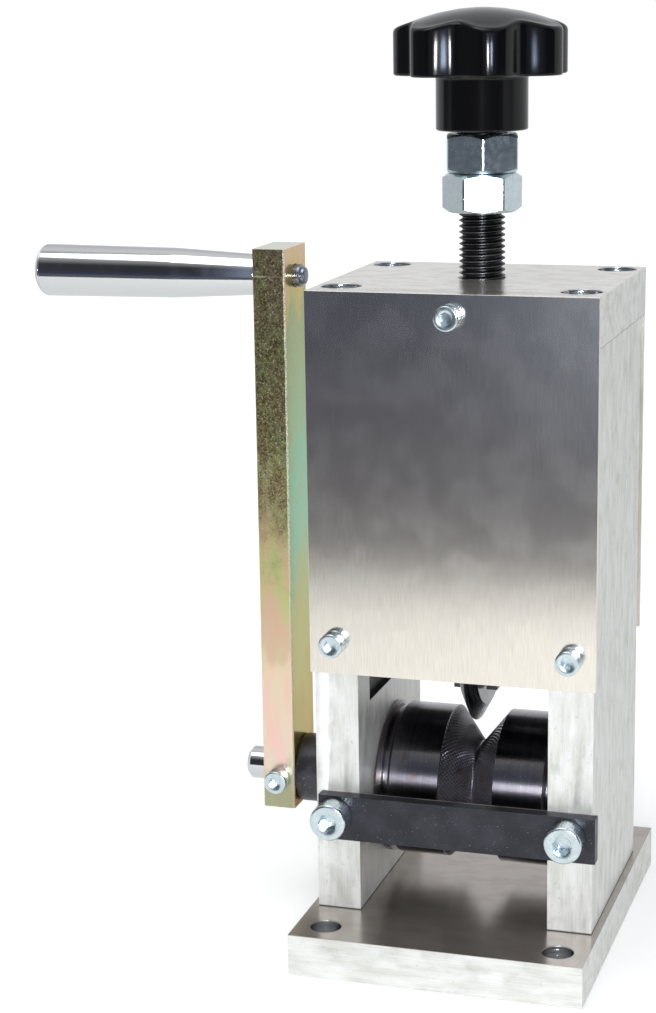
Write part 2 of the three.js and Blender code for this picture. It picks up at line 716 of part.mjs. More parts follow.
// A hexagon nut with both corners chamfered, bored for the screw.
function nut(low) {
  const corner = NUT_AF / Math.sqrt(3);
  const flat = NUT_AF / 2 - 0.3;
  const high = low + NUT_H;
  const profile = [
    [0, low],
    [flat, low],
    [corner + 0.1, low + NUT_CHAMFER],
    [corner + 0.1, high - NUT_CHAMFER],
    [flat, high],
    [0, high],
  ];
  const blank = hexagon(NUT_AF, low, high).intersect(solid(turned(profile, FINE)));
  return blank.subtract(cylinderZ(SCREW_D + 2 * FIT, 0, 0, low - 1, high + 1, ROUND));
}

// The star knob: a round hub under a lobed head, whose upright sides end in one shallow dome.
function starKnob() {
  const steps = KNOB_LOBES * 10;
  const rim = Array.from({ length: steps }, (_, i) => {
    const a = (i / steps) * 2 * Math.PI;
    const hollow = ((1 - Math.cos(KNOB_LOBES * a)) / 2) ** LOBE_FULLNESS;
    const r = KNOB_D / 2 - LOBE_DEEP * hollow;
    return new THREE.Vector2(r * Math.cos(a), r * Math.sin(a));
  });
  const depth = LOBE_H + DOME_H;
  const head = new THREE.ExtrudeGeometry(new THREE.Shape(rim), { depth, bevelEnabled: false });
  head.translate(0, 0, HUB_H);
  const dome = [0, 1, 2, 3, 4, 5].map((i) => {
    const r = (1 - i / 5) * (KNOB_D / 2);
    const fall = (2 * r) / KNOB_D;
    return [r, HUB_H + LOBE_H + DOME_H * (1 - fall * fall)];
  });
  const cap = solid(turned([[0, HUB_H - 1], [KNOB_D / 2, HUB_H - 1], ...dome], FINE));
  const hub = cylinderZ(HUB_D, 0, 0, 0, HUB_H + 1, FINE);
  const bore = cylinderZ(SCREW_D + 2 * FIT, 0, 0, -1, SCREW_IN_KNOB + FIT, ROUND);
  return solid(head).intersect(cap).add(hub).subtract(bore);
}

screw.add(piece("adjusting_screw", adjustingScrew(), blackSteel()));
const jamNut = piece("jam_nut", geometryOf(nut(jamNutLow)), brightZinc());
jamNut.rotation.z = JAM_NUT_TURN;
screw.add(jamNut);
const knob = piece("star_knob", geometryOf(starKnob()), plastic());
knob.position.z = knobLow;
knob.rotation.z = KNOB_TURN;
screw.add(knob);

// Lock nut: runs on the screw, down to the top plate
const lockNut = new THREE.Group();
lockNut.position.set(0, mechY, 0);
const lockNutPiece = piece("lock_nut", geometryOf(nut(lockNutLow)), brightZinc());
lockNutPiece.rotation.z = LOCK_NUT_TURN;
lockNut.add(lockNutPiece);

const stripper = new THREE.Group();
stripper.add(frame, drive, handle, carriage, blade, screw, lockNut);
export default stripper;
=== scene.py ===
# %% [markdown]
# # A hand crank wire stripper
#
# This bench tool is a stack of bolted aluminium plates. A crank turns two steel rollers that form a V groove,
# a round blade hangs over the groove, and a star knob on a thread raises and lowers it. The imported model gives
# every part its place and size, in metres. This file gives each one its true edges, threads and finish.
# Nothing is fitted by eye: a piece is computed from the same millimetres as the model and rides on its body.

import json

import bmesh
import bpy
import numpy as np
from mathutils import Matrix, Vector


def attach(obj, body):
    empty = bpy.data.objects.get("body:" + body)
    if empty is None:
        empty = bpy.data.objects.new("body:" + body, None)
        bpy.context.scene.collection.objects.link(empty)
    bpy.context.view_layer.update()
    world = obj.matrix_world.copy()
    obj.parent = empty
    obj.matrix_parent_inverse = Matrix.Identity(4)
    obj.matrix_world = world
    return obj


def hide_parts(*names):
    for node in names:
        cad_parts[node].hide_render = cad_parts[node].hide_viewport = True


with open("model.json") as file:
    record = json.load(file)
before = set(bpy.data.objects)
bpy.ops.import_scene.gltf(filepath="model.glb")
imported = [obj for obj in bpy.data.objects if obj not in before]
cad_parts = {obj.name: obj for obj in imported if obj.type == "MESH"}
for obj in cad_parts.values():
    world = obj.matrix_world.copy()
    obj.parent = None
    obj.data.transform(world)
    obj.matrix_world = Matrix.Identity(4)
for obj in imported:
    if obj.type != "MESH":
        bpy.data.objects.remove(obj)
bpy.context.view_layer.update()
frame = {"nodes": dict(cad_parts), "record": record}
scene = bpy.context.scene
print("nodes in the frame:", len(frame["nodes"]))

# %% [markdown]
# ## The camera
#
# The photograph was taken from the right and a little above. A least-squares fit of the plates' corners gave
# the camera's place, its three angles and its focal length in pixels. Blender wants a lens in millimetres on a
# 36 mm sensor, which it lays along the longer side of the image, and a shift as a share of that side.

# %% Camera
WIDTH, HEIGHT = 656, 1013
FOCAL_PX, CENTRE_PX = 2274.24, (333.21, 506.48)
CAMERA_PLACE = (0.18748, -0.75881, 0.33141)
YAW, PITCH, ROLL = np.radians((17.653, -12.776, -0.883))

forward = np.array((-np.sin(YAW) * np.cos(PITCH), np.cos(YAW) * np.cos(PITCH), np.sin(PITCH)))
level = np.array((np.cos(YAW), np.sin(YAW), 0.0))
upright = np.cross(level, forward)
right = level * np.cos(ROLL) + upright * np.sin(ROLL)
up = upright * np.cos(ROLL) - level * np.sin(ROLL)
turn = Matrix(np.column_stack((right, up, -forward)).tolist())

lens = bpy.data.cameras.new("photo_camera")
lens.sensor_width = 36
lens.lens = FOCAL_PX * 36 / HEIGHT
lens.shift_x = (WIDTH / 2 - CENTRE_PX[0]) / HEIGHT
lens.shift_y = (CENTRE_PX[1] - HEIGHT / 2) / HEIGHT
lens.clip_start, lens.clip_end = 0.01, 20
camera = bpy.data.objects.new("photo_camera", lens)
camera.matrix_world = Matrix.Translation(Vector(CAMERA_PLACE)) @ turn.to_4x4()
scene.collection.objects.link(camera)
scene.camera = camera
print("lens in mm:", round(lens.lens, 1), "shift:", round(lens.shift_x, 4))

# %% [markdown]
# ## Adding nodes
#
# Every material below is a small network of shader nodes. One function adds a node, sets the values that are
# given by name, and links the inputs that are given as another node's output. Colours are written as the hex
# values that a screen shows, and one function turns them into the linear light that the renderer works in. Two
# more say what a painter would: how far a pattern reaches, and which colour is laid over which by that share.


# %% Node and colour helpers
def linear(colour):
    """Each channel c of an sRGB hex colour becomes c/12.92 below 0.04045, else ((c+0.055)/1.055) to the 2.4."""
    c = np.array([int(colour[i : i + 2], 16) for i in (1, 3, 5)]) / 255
    c = np.where(c <= 0.04045, c / 12.92, ((c + 0.055) / 1.055) ** 2.4)
    return (*c.tolist(), 1.0)


def add(tree, kind, inputs=None, **settings):
    """Adds one node; an input is a value, a hex colour, or an output socket to link."""
    node = tree.nodes.new(kind)
    for key, value in settings.items():
        setattr(node, key, value)
    for key, value in (inputs or {}).items():
        socket = node.inputs[key]
        if isinstance(value, bpy.types.NodeSocket):
            tree.links.new(value, socket)
        else:
            socket.default_value = linear(value) if isinstance(value, str) else value
    return node


def share(tree, value, low, high, start=0.0, end=1.0, of=None):
    """Start where a value is low, end where it is high, and smooth between; of is a share to multiply it by.
    Low may be the larger number: the share then falls as the value rises."""
    reach = add(tree, "ShaderNodeMapRange", {"Value": value, "From Min": low, "From Max": high, "To Min": start,
                "To Max": end}, interpolation_type="SMOOTHSTEP").outputs[0]
    if of is None:
        return reach
    return add(tree, "ShaderNodeMath", {0: of, 1: reach}, operation="MULTIPLY").outputs[0]


def over(tree, paint, colour, value, low, high, most=1.0, of=None):
    """Paint where a value is low, and where it is high a colour laid over it, as dense as the share most."""
    dense = share(tree, value, low, high, 0.0, most, of)
    laid = add(tree, "ShaderNodeMix", {"Factor": dense, "A": paint, "B": colour}, data_type="RGBA")
    return laid.outputs["Result"]


def colour_band(tree, value, stops):
    """A colour for each value, eased between the hex colours at the given places."""
    node = add(tree, "ShaderNodeValToRGB", {0: value})
    node.color_ramp.interpolation = "EASE"
    while len(node.color_ramp.elements) < len(stops):
        node.color_ramp.elements.new(0.5)
    for element, (place, colour) in zip(node.color_ramp.elements, stops):
        element.position, element.color = place, linear(colour)
    return node.outputs[0]


# %% [markdown]
# ## Studio
#
# The tool stands on white paper with a pale wall behind it, and the camera's side of the room is dark. That
# contrast is what makes the chrome, the zinc and the brushed cover read as metal: they mirror white from the
# paper and near black from the room. The world shows plain white to the camera. What the metal mirrors is the
# pale wall behind, a brighter ceiling, and in front the room, which is bluish near the ground, has a wide
# grey window on the right and a paler corner on the left. The even light that everything else receives is a
# constant grey. A flash beside the camera and a large lamp overhead cast the shadows. A dim strip on the right
# only shows in what is glossy, where it draws the second, bluish line on each lobe of the knob.

# %% World
world = bpy.data.worlds.new("studio")
scene.world = world
world.use_nodes = True
sky = world.node_tree
sky.nodes.clear()
ray = add(sky, "ShaderNodeLightPath").outputs
way = add(sky, "ShaderNodeTexCoord").outputs["Generated"]
way = add(sky, "ShaderNodeSeparateXYZ", {0: way}).outputs

room = colour_band(sky, share(sky, way["Z"], -0.3, 0.3), ((0.05, "#5f5f67"), (0.2, "#3c4357"), (1.0, "#38383d")))
window = share(sky, way["Z"], -0.21, -0.15, of=share(sky, way["X"], -0.235, -0.19))
room = over(sky, room, "#8a95ab", way["X"], 0.8, 0.6, of=window)
room = over(sky, room, "#5c5f68", way["X"], -0.4, -0.65)
wall = colour_band(sky, way["Z"], ((0.1, "#e6e7ea"), (0.6, "#c6c7cc")))
room = over(sky, room, wall, way["Y"], 0.05, 0.22)
room = over(sky, room, "#ffffff", way["Z"], 0.45, 0.95, 0.5)

even = add(sky, "ShaderNodeMix", {"Factor": ray["Is Glossy Ray"], "A": "#b9bbbd", "B": room}, data_type="RGBA")
shown = add(sky, "ShaderNodeMath", {0: ray["Is Camera Ray"], 1: ray["Is Transmission Ray"]}, operation="MAXIMUM")
final = add(sky, "ShaderNodeMix", {"Factor": shown.outputs[0], "A": even.outputs["Result"], "B": "#ffffff"},
            data_type="RGBA")
background = add(sky, "ShaderNodeBackground", {"Color": final.outputs["Result"], "Strength": 1.0})
add(sky, "ShaderNodeOutputWorld", {"Surface": background.outputs[0]})
print("nodes in the studio's world:", len(sky.nodes))


# %% Paper floor
def flat_sheet(name, x0, x1, y0, y1, z):
    """A rectangle of four points at one height."""
    mesh = bpy.data.meshes.new(name)
    mesh.from_pydata([(x0, y0, z), (x1, y0, z), (x1, y1, z), (x0, y1, z)], [], [(0, 1, 2, 3)])
    sheet = bpy.data.objects.new(name, mesh)
    scene.collection.objects.link(sheet)
    return sheet


# The paper's near edge is where the cover's reflection turns from pale to dark.
floor = flat_sheet("paper", -1.6, 1.6, -0.53, 3.0, -0.0003)
paper = bpy.data.materials.new("white_paper")
paper.use_nodes = True
tree = paper.node_tree
tree.nodes.clear()
ray = add(tree, "ShaderNodeLightPath").outputs
diffuse = add(tree, "ShaderNodeBsdfDiffuse", {"Color": "#e9eaea"}).outputs[0]
# To the camera the paper glows more away from the tool, so that its far edge is as white as the wall.
spot = add(tree, "ShaderNodeTexCoord").outputs["Object"]
away = add(tree, "ShaderNodeVectorMath", {0: spot}, operation="LENGTH").outputs["Value"]
strength = add(tree, "ShaderNodeMath", {0: ray["Is Camera Ray"], 1: share(tree, away, 0.1, 0.45, 0.12, 0.5),
               2: 0.27}, operation="MULTIPLY_ADD").outputs[0]
glow = add(tree, "ShaderNodeEmission", {"Color": "#ffffff", "Strength": strength}).outputs[0]
seen = ray["Is Camera Ray"]
for kind in ("Is Glossy Ray", "Is Transmission Ray"):
    seen = add(tree, "ShaderNodeMath", {0: seen, 1: ray[kind]}, operation="MAXIMUM").outputs[0]
both = add(tree, "ShaderNodeAddShader", {0: diffuse, 1: glow}).outputs[0]
lit = add(tree, "ShaderNodeMixShader", {0: seen, 1: diffuse, 2: both})
add(tree, "ShaderNodeOutputMaterial", {"Surface": lit.outputs[0]})
floor.data.materials.append(paper)
print("paper in metres:", tuple(round(v, 2) for v in floor.dimensions[:2]))


# %% Lamps
def lamp(name, place, target, wide, tall, watts, colour="#ffffff"):
    """A rectangular area lamp at a place, facing a target."""
    light = bpy.data.lights.new(name, "AREA")
    light.shape, light.size, light.size_y, light.energy = "RECTANGLE", wide, tall, watts
    light.color = linear(colour)[:3]
    holder = bpy.data.objects.new(name, light)
    holder.location = place
    holder.rotation_euler = (Vector(target) - Vector(place)).to_track_quat("-Z", "Y").to_euler()
    scene.collection.objects.link(holder)
    return holder


lamp("flash", (0.19, -0.80, 0.28), (0, 0, 0.16), 0.08, 0.15, 3.2)
side_light = lamp("side_light", (0.35, -0.74, 0.29), (0, 0, 0.3), 0.05, 0.15, 1.2, "#c3d4f2")
side_light.visible_diffuse = False
lamp("ceiling", (-0.35, -0.35, 1.5), (0, 0, 0.12), 0.9, 0.9, 6.0)
print("lamps:", len(bpy.data.lights))

# %% [markdown]
# ## Patterns in real millimetres
#
# Metal is never one flat colour. It carries the marks of the tool that cut it, fingerprints, stains and dust.
# Each finish below mixes a few noise patterns that read the object's own coordinates, so a mark stays where it
# is when a part turns. Object coordinates are in metres, so a pattern of size s mm has the scale 1000 / s. A
# different scale on each axis stretches the blotches of a noise into the long scratches of a saw or a belt.


# %% Pattern helpers
MM = 0.001
MIDDLE_Y = 4  # the housing's middle, in mm: the shaft, the blade and the adjusting screw are there


def new_finish(name):
    """An empty material with its nodes and the object's coordinates."""
    finish = bpy.data.materials.new(name)
    finish.use_nodes = True
    tree = finish.node_tree
    tree.nodes.clear()
    place = add(tree, "ShaderNodeTexCoord").outputs["Object"]
    return finish, tree, place


def marks(tree, place, sizes_mm, detail=3.0):
    """Noise of 0 to 1 with a blotch size in mm along each axis."""
    laid = add(tree, "ShaderNodeMapping", {"Vector": place, "Scale": tuple(1000 / size for size in sizes_mm)})
    inputs = {"Vector": laid.outputs[0], "Scale": 1.0, "Detail": detail}
    return add(tree, "ShaderNodeTexNoise", inputs).outputs[0]


def gap_to(tree, value, level):
    """How far a value is from a level, either way."""
    gap = add(tree, "ShaderNodeMath", {0: value, 1: level}, operation="SUBTRACT").outputs[0]
    return add(tree, "ShaderNodeMath", {0: gap}, operation="ABSOLUTE").outputs[0]


def relief(tree, *layers):
    """Bumps that lie on each other: each a pattern of 0 to 1, the depth in mm it stands for, and a strength."""
    surface = {}
    for height, depth_mm, strength in layers:
        inputs = {"Height": height, "Distance": depth_mm * MM, "Strength": strength} | surface
        surface = {"Normal": add(tree, "ShaderNodeBump", inputs).outputs[0]}
    return surface["Normal"]


def shade(tree, **inputs):
    """The surface shader with its inputs, joined to the output."""
    named = {key.replace("_", " "): value for key, value in inputs.items()}
    shader = add(tree, "ShaderNodeBsdfPrincipled", named)
    add(tree, "ShaderNodeOutputMaterial", {"Surface": shader.outputs[0]})


# %% [markdown]
# ## Sawn aluminium
#
# The base, the side plates and the top plate are cut from aluminium bar and only skimmed. The saw leaves fine
# parallel lines, and handling leaves pale grey and olive clouds along them. To the eye the metal is nearly
# white and matte. The upper faces of the base and the top plate were ground smooth, so they mirror what stands
# on them, and a drill left the bores bright inside. Dirt gathers where two plates meet and draws a dark line.
# The two channels in which the carriage slides are painted near black from a height up: painted shade.


# %% Sawn aluminium
def quartered(tree, place, middle_mm):
    """The place with its four quarters folded into one: the distances |x| and |y - middle|."""
    centred = add(tree, "ShaderNodeMapping", {"Vector": place, "Location": (0, -middle_mm * MM, 0)}).outputs[0]
    return add(tree, "ShaderNodeVectorMath", {0: centred}, operation="ABSOLUTE").outputs[0]


def bored(tree, quarter, x_mm, y_mm, radius_mm):
    """1 within a radius of the bore at (x, y) in each quarter, else 0."""
    off = add(tree, "ShaderNodeVectorMath", {0: quarter, 1: (x_mm * MM, y_mm * MM, 0)}, operation="SUBTRACT")
    off = add(tree, "ShaderNodeVectorMath", {0: off.outputs[0], 1: (1, 1, 0)}, operation="MULTIPLY")
    off = add(tree, "ShaderNodeVectorMath", {0: off.outputs[0]}, operation="LENGTH").outputs["Value"]
    return share(tree, off, (radius_mm + 0.1) * MM, (radius_mm - 0.1) * MM)


def in_channels(tree, quarter):
    """1 where |x| is between the plates' inner faces and the channels' floors, and |y| within their walls."""
    part = add(tree, "ShaderNodeSeparateXYZ", {0: quarter}).outputs
    deep = share(tree, part["X"], 0.0335, 0.0336)
    deep = share(tree, part["X"], 0.0363, 0.0361, of=deep)
    return share(tree, part["Y"], 0.0295, 0.0293, of=deep)


def sawn_aluminium(name, along, top=1.0, skim=("#dedad1", "#c6c0b6"), holes=None, middle=MIDDLE_Y, seams=(),
                   channel_shade_from=None):
    """Aluminium sawn along an axis (0, 1 or 2). Above the height top, in metres, it is ground smooth in the two
    skim colours. Holes holds the place and radius of four bores in mm, about the middle Y. Seams are the heights
    where dirt gathers, and from a height up the carriage's channels are painted near black as painted shade."""
    finish, tree, place = new_finish(name)
    sizes = lambda across, length: tuple(length if axis == along else across for axis in range(3))
    height = add(tree, "ShaderNodeSeparateXYZ", {0: place}).outputs["Z"]
    quarter = quartered(tree, place, middle)
    lines = marks(tree, place, sizes(0.45, 12), 4)
    clouds = marks(tree, place, sizes(4, 14), 5)
    stains = marks(tree, place, sizes(6, 9), 5)
    dust = marks(tree, place, (1.6, 1.6, 1.6), 4)
    colour = over(tree, "#e0e0dc", "#eeeeea", lines, 0.3, 0.7)
    colour = over(tree, colour, "#f9f9f7", clouds, 0.42, 0.66, 0.6)
    colour = over(tree, colour, "#c2c3b0", clouds, 0.5, 0.28, 0.3)
    colour = over(tree, colour, "#adaea2", stains, 0.52, 0.74, 0.35)
    colour = over(tree, colour, "#96958b", dust, 0.6, 0.78, 0.3)
    ground = (height, top - 0.0003, top - 0.0001)
    colour = over(tree, colour, over(tree, *skim, stains, 0.4, 0.7), *ground)
    for seam in seams:
        colour = over(tree, colour, "#3b3935", gap_to(tree, height, seam), 0.0005, 0.0001, 0.8)
    # The carriage's channels are painted near black: painted shade in the recess where the carriage slides.
    if channel_shade_from:
        colour = over(tree, colour, "#2b2a2b", height, channel_shade_from - 0.0001, channel_shade_from + 0.0001,
                      of=in_channels(tree, quarter))
    metal = share(tree, *ground, 0.5, 0.86)
    rough = share(tree, clouds, 0.3, 0.7, 0.42, 0.55)
    rough = add(tree, "ShaderNodeMix", {"Factor": share(tree, *ground), "A": rough, "B": 0.23}).outputs["Result"]
    surface = [(share(tree, *ground, 1.0, 0.0, of=lines), 0.015, 0.4)]
    if holes:
        below, bores = (height, top - 0.0002, top - 0.0004), bored(tree, quarter, *holes)
        colour = over(tree, colour, "#cfd0d2", *below, of=bores)
        inside = share(tree, *below, of=bores)
        metal = add(tree, "ShaderNodeMix", {"Factor": inside, "A": metal, "B": 1.0}).outputs["Result"]
        rough = add(tree, "ShaderNodeMix", {"Factor": inside, "A": rough, "B": 0.16}).outputs["Result"]
        # A drill's rings lie level, so they draw a lamp's reflection out into an upright line.
        rings = marks(tree, place, (16, 16, 0.25), 1)
        rings = add(tree, "ShaderNodeMath", {0: inside, 1: rings}, operation="MULTIPLY").outputs[0]
        surface.append((rings, 0.1, 1.0))
    shade(tree, Base_Color=colour, Metallic=metal, Roughness=rough, Normal=relief(tree, *surface))
    return finish


upright_saw = sawn_aluminium("sawn_aluminium_upright", 2, seams=(0.0146, 0.217), channel_shade_from=0.0874)
level_saw = sawn_aluminium("sawn_aluminium_level", 0, top=0.0145, skim=("#c6bfb7", "#bab2aa"),
                           holes=(41, 56.75, 5.7), middle=0)
ground_top = sawn_aluminium("ground_aluminium", 0, top=0.2341, skim=("#f2efe9", "#dedad2"),
                            holes=(41.25, 31.5, 7.2), seams=(0.2171,))
print("bored plates' nodes:", len(level_saw.node_tree.nodes), len(ground_top.node_tree.nodes))

# %% [markdown]
# ## Brushed stainless sheet
#
# The two covers are stainless sheet with a vertical brushed grain. Stainless is a slightly warm grey, and the
# sheet is smooth enough to mirror the room above and the paper below. The grain is drawn 0.2 mm wide, coarser
# than the real one, so that it shows at all in a picture of this size. Fingers have left faint round prints.


# %% Brushed stainless
def brushed_stainless():
    finish, tree, place = new_finish("brushed_stainless")
    grain = marks(tree, place, (0.2, 3, 7), 2)
    prints = marks(tree, place, (14, 14, 14), 1)
    colour = over(tree, "#ded8cd", "#ece6dc", grain, 0.3, 0.7)
    colour = over(tree, colour, "#f8f6f1", prints, 0.5, 0.6, 0.12)
    shade(tree, Base_Color=colour, Metallic=1.0, Roughness=share(tree, prints, 0.4, 0.6, 0.16, 0.18))
    return finish


stainless = brushed_stainless()

# %% [markdown]
# ## Black oxide
#
# The guide bar, the collar, the carriage and the adjusting screw are steel blackened in a hot salt bath and
# oiled. The film is under a thousandth of a millimetre thick, so the steel's own marks show through, and the
# oil gives a soft sheen with a violet cast. Bright specks are chips and dust that the oil holds.


# %% Black oxide
def black_oxide(name, colour="#2c2c33", pale="#3b3b43", sheen=0.36, specks=0.5, worn_radius=None, lip=None):
    """Blackened steel; beyond worn_radius, in metres from the screw's axis, it has rubbed bright. Lip is the sum
    of Y and Z, in metres, beyond which the bar's inner edge is bared by the wire that is drawn over it."""
    finish, tree, place = new_finish(name)
    patches = marks(tree, place, (9, 9, 9), 4)
    fine = marks(tree, place, (0.8, 0.8, 0.8), 2)
    grit = marks(tree, place, (0.55, 0.55, 0.55), 1)
    paint = over(tree, colour, pale, patches, 0.35, 0.7)
    paint = over(tree, paint, "#c9c8c4", grit, 0.72, 0.76, specks)
    if worn_radius:
        centred = add(tree, "ShaderNodeMapping", {"Vector": place, "Location": (0, -MIDDLE_Y * MM, 0),
                      "Scale": (1, 1, 0)}).outputs[0]
        out = add(tree, "ShaderNodeVectorMath", {0: centred}, operation="LENGTH").outputs["Value"]
        paint = over(tree, paint, "#7d7a78", out, worn_radius, worn_radius + 0.0002,
                     of=share(tree, patches, 0.3, 0.6, 0.25, 0.8))
    if lip:
        part = add(tree, "ShaderNodeSeparateXYZ", {0: place}).outputs
        edge = add(tree, "ShaderNodeMath", {0: part["Y"], 1: part["Z"]}, operation="ADD").outputs[0]
        paint = over(tree, paint, "#b5aeb0", edge, lip, lip + 0.0001,
                     of=share(tree, patches, 0.3, 0.6, 0.4, 0.9))
    rough = share(tree, patches, 0.3, 0.7, sheen - 0.08, sheen + 0.1)
    shade(tree, Base_Color=paint, Metallic=0.45, Roughness=rough, Normal=relief(tree, (fine, 0.02, 0.3)))
    return finish


oxide = black_oxide("black_oxide", "#35343a", "#47464c")
bar_oxide = black_oxide("black_oxide_bar", lip=0.01785)
screw_oxide = black_oxide("black_oxide_screw", "#17171a", "#222226", 0.3, 0.0, worn_radius=0.00785)

# %% [markdown]
# ## Oiled roller steel
#
# The rollers are turned, blackened and wet with oil. Turning leaves fine rings round the axis, which here is X.
# Rings spread a reflection along the axis but not across it, which is what an anisotropic roughness does when
# its tangent lies along X: a lamp becomes one white streak along the roller. Over the metal lies the oil, a
# clear coat whose small pits sparkle. Rust below gives the black a brown cast; the flange's rim is browner
# still, a painted reflection of the pale wall that the rim shows at a grazing angle.


# %% Roller steel
def roller_steel():
    finish, tree, place = new_finish("oiled_roller_steel")
    rings = marks(tree, place, (0.8, 16, 16), 3)
    pits = marks(tree, place, (0.8, 0.8, 0.8), 2)
    rust = marks(tree, place, (5, 5, 5), 4)
    grit = marks(tree, place, (0.6, 0.6, 0.6), 1)
    part = add(tree, "ShaderNodeSeparateXYZ", {0: place}).outputs
    paint = over(tree, "#656267", "#706d73", rings, 0.35, 0.75)
    paint = over(tree, paint, "#5e4238", rust, 0.5, 0.75, 0.5)
    # The flange's rim is painted brown: a painted reflection of the pale wall seen there at a grazing angle.
    paint = over(tree, paint, "#52413a", gap_to(tree, part["X"], 0.0), 0.0303, 0.0306, 0.45)
    paint = over(tree, paint, "#c9cbc6", grit, 0.72, 0.78, 0.5)
    # The tangent leans a little off X, so that it lies along no face's normal.
    tangent = add(tree, "ShaderNodeCombineXYZ", {"X": 1.0, "Y": 0.02, "Z": 0.02}).outputs[0]
    shade(tree, Base_Color=paint, Metallic=1.0, Roughness=0.29, Anisotropic=1.0, Tangent=tangent,
          Normal=relief(tree, (pits, 0.02, 0.5)), Coat_Weight=1.0, Coat_Roughness=0.15, Coat_IOR=1.6,
          Coat_Normal=relief(tree, (rings, 0.05, 0.6), (pits, 0.1, 0.8)))
    return finish


rollers_steel = roller_steel()

# %% [markdown]
# ## Bright zinc
#
# The cap screws and the nuts are steel with a bright zinc plating: a cool, slightly blue metal, smooth but not
# a mirror, with a faint cloudiness where the bath was uneven.


# %% Bright zinc
def bright_zinc():
    finish, tree, place = new_finish("bright_zinc")
    cloud = marks(tree, place, (2.2, 2.2, 2.2), 3)
    fine = marks(tree, place, (0.5, 0.5, 0.5), 2)
    paint = over(tree, "#c9d6da", "#d7e4e7", cloud, 0.3, 0.7)
    rough = share(tree, cloud, 0.3, 0.7, 0.23, 0.28)
    shade(tree, Base_Color=paint, Metallic=1.0, Roughness=rough, Normal=relief(tree, (fine, 0.01, 0.4)))
    return finish


zinc = bright_zinc()

# %% [markdown]
# ## Yellow chromate on the crank arm
#
# The arm is steel, zinc plated and dipped in a yellow chromate bath. The film is so thin that its colour comes
# from its thickness, and it drifts through straw, pink and green as it drained off the hanging part. So the
# front face mixes two rows of colours by a slow noise. It is clean and pale below; above it is brown and olive,
# full of pits and sparks, with a scratch across it. The face toward the plates is smoother and has a row of its
# own, from ochre through yellow and green to peach. The place in X tells the shader which face it is on.

# %% Yellow chromate
GREEN_FILM = ((0.0, "#a9b08a"), (0.07, "#d5d6b4"), (0.13, "#ece0c4"), (0.22, "#f2dfbf"), (0.3, "#e0cda6"),
              (0.42, "#cfd392"), (0.57, "#a8b27a"), (0.72, "#868f5e"), (1.0, "#8a8a62"))
PINK_FILM = ((0.0, "#b0a98c"), (0.07, "#dccbb2"), (0.13, "#fbd3cb"), (0.22, "#fbcfbb"), (0.3, "#e8c0a8"),
             (0.42, "#e4c69c"), (0.57, "#b2a47c"), (0.72, "#908466"), (1.0, "#92816a"))
INNER_FILM = ((0.0, "#b48a50"), (0.12, "#c4ac50"), (0.32, "#c0bd70"), (0.48, "#98cda6"), (0.6, "#94cfa9"),
              (0.72, "#a6c592"), (0.87, "#adbc86"), (0.92, "#e0c46a"), (0.97, "#ecc59c"))
ARM_FOOT, ARM_HEAD = 0.0377, 0.2437


def yellow_chromate():
    finish, tree, place = new_finish("yellow_chromate")
    part = add(tree, "ShaderNodeSeparateXYZ", {0: place}).outputs
    drift = marks(tree, place, (9, 9, 16), 3)
    film = marks(tree, place, (5, 9, 18), 2)
    blotch = marks(tree, place, (3.5, 3.5, 5), 4)
    pits = marks(tree, place, (0.7, 0.7, 0.8), 4)
    sparks = marks(tree, place, (0.6, 0.6, 0.6), 2)

    # The film's place on the arm, 0 at the foot and 1 at the head, wanders by a twentieth to either side.
    level = add(tree, "ShaderNodeMapRange", {"Value": part["Z"], "From Min": ARM_FOOT, "From Max": ARM_HEAD})
    level = level.outputs[0]
    wander = share(tree, drift, 0.25, 0.75, -0.05, 0.05)
    along = add(tree, "ShaderNodeMath", {0: level, 1: wander}, operation="ADD").outputs[0]

    front = over(tree, colour_band(tree, along, GREEN_FILM), colour_band(tree, along, PINK_FILM), film, 0.3, 0.7)
    upper = share(tree, along, 0.38, 0.62)
    front = over(tree, front, "#6e4f3a", blotch, 0.45, 0.6, 0.55, of=upper)
    front = over(tree, front, "#383019", pits, 0.48, 0.36, 0.55, of=upper)
    front = over(tree, front, "#b3b873", pits, 0.53, 0.64, 0.6, of=upper)
    front = over(tree, front, "#f0e8bb", sparks, 0.6, 0.67, 0.8, of=upper)
    front = over(tree, front, "#f3e4d4", gap_to(tree, part["Z"], 0.234), 0.0004, 0.0001, 0.9,
                 of=share(tree, drift, 0.35, 0.55))

    # On the inner face the film's bands lean: 1 mm towards the rear counts as 4 thousandths of the arm's length.
    leaning = add(tree, "ShaderNodeMath", {0: part["Y"], 1: -4.0, 2: along}, operation="MULTIPLY_ADD").outputs[0]
    inner = over(tree, colour_band(tree, leaning, INNER_FILM), "#c9ab7c", blotch, 0.5, 0.7, 0.3)
    on_inner = (part["X"], -0.0683, -0.0681)
    paint = over(tree, front, inner, *on_inner)

    # The broken edge between the two faces carries a painted highlight in near-white dashes, and the arm's end
    # is pale.
    across = add(tree, "ShaderNodeMath", {0: part["X"], 1: part["Y"]}, operation="SUBTRACT").outputs[0]
    on_edge = (across, -0.06065, -0.06055)
    edge_highlight_dashes = share(tree, level, 0.2, 0.6, 0.5, 1.0, of=share(tree, sparks, 0.4, 0.55, 0.35, 1.0))
    paint = over(tree, paint, "#fbf4e2", *on_edge, of=edge_highlight_dashes)
    paint = over(tree, paint, "#eceeda", level, 0.9993, 0.9999)

    rough = share(tree, *on_inner, 0.3, 0.17)
    rough = add(tree, "ShaderNodeMix", {"Factor": share(tree, *on_edge), "A": rough, "B": 0.6}).outputs["Result"]
    dents = add(tree, "ShaderNodeMath", {0: pits, 1: upper}, operation="MULTIPLY").outputs[0]
    shade(tree, Base_Color=paint, Metallic=0.85, Roughness=rough, Normal=relief(tree, (dents, 0.04, 0.5)))
    return finish


chromate = yellow_chromate()
print("chromate's nodes:", len(chromate.node_tree.nodes))

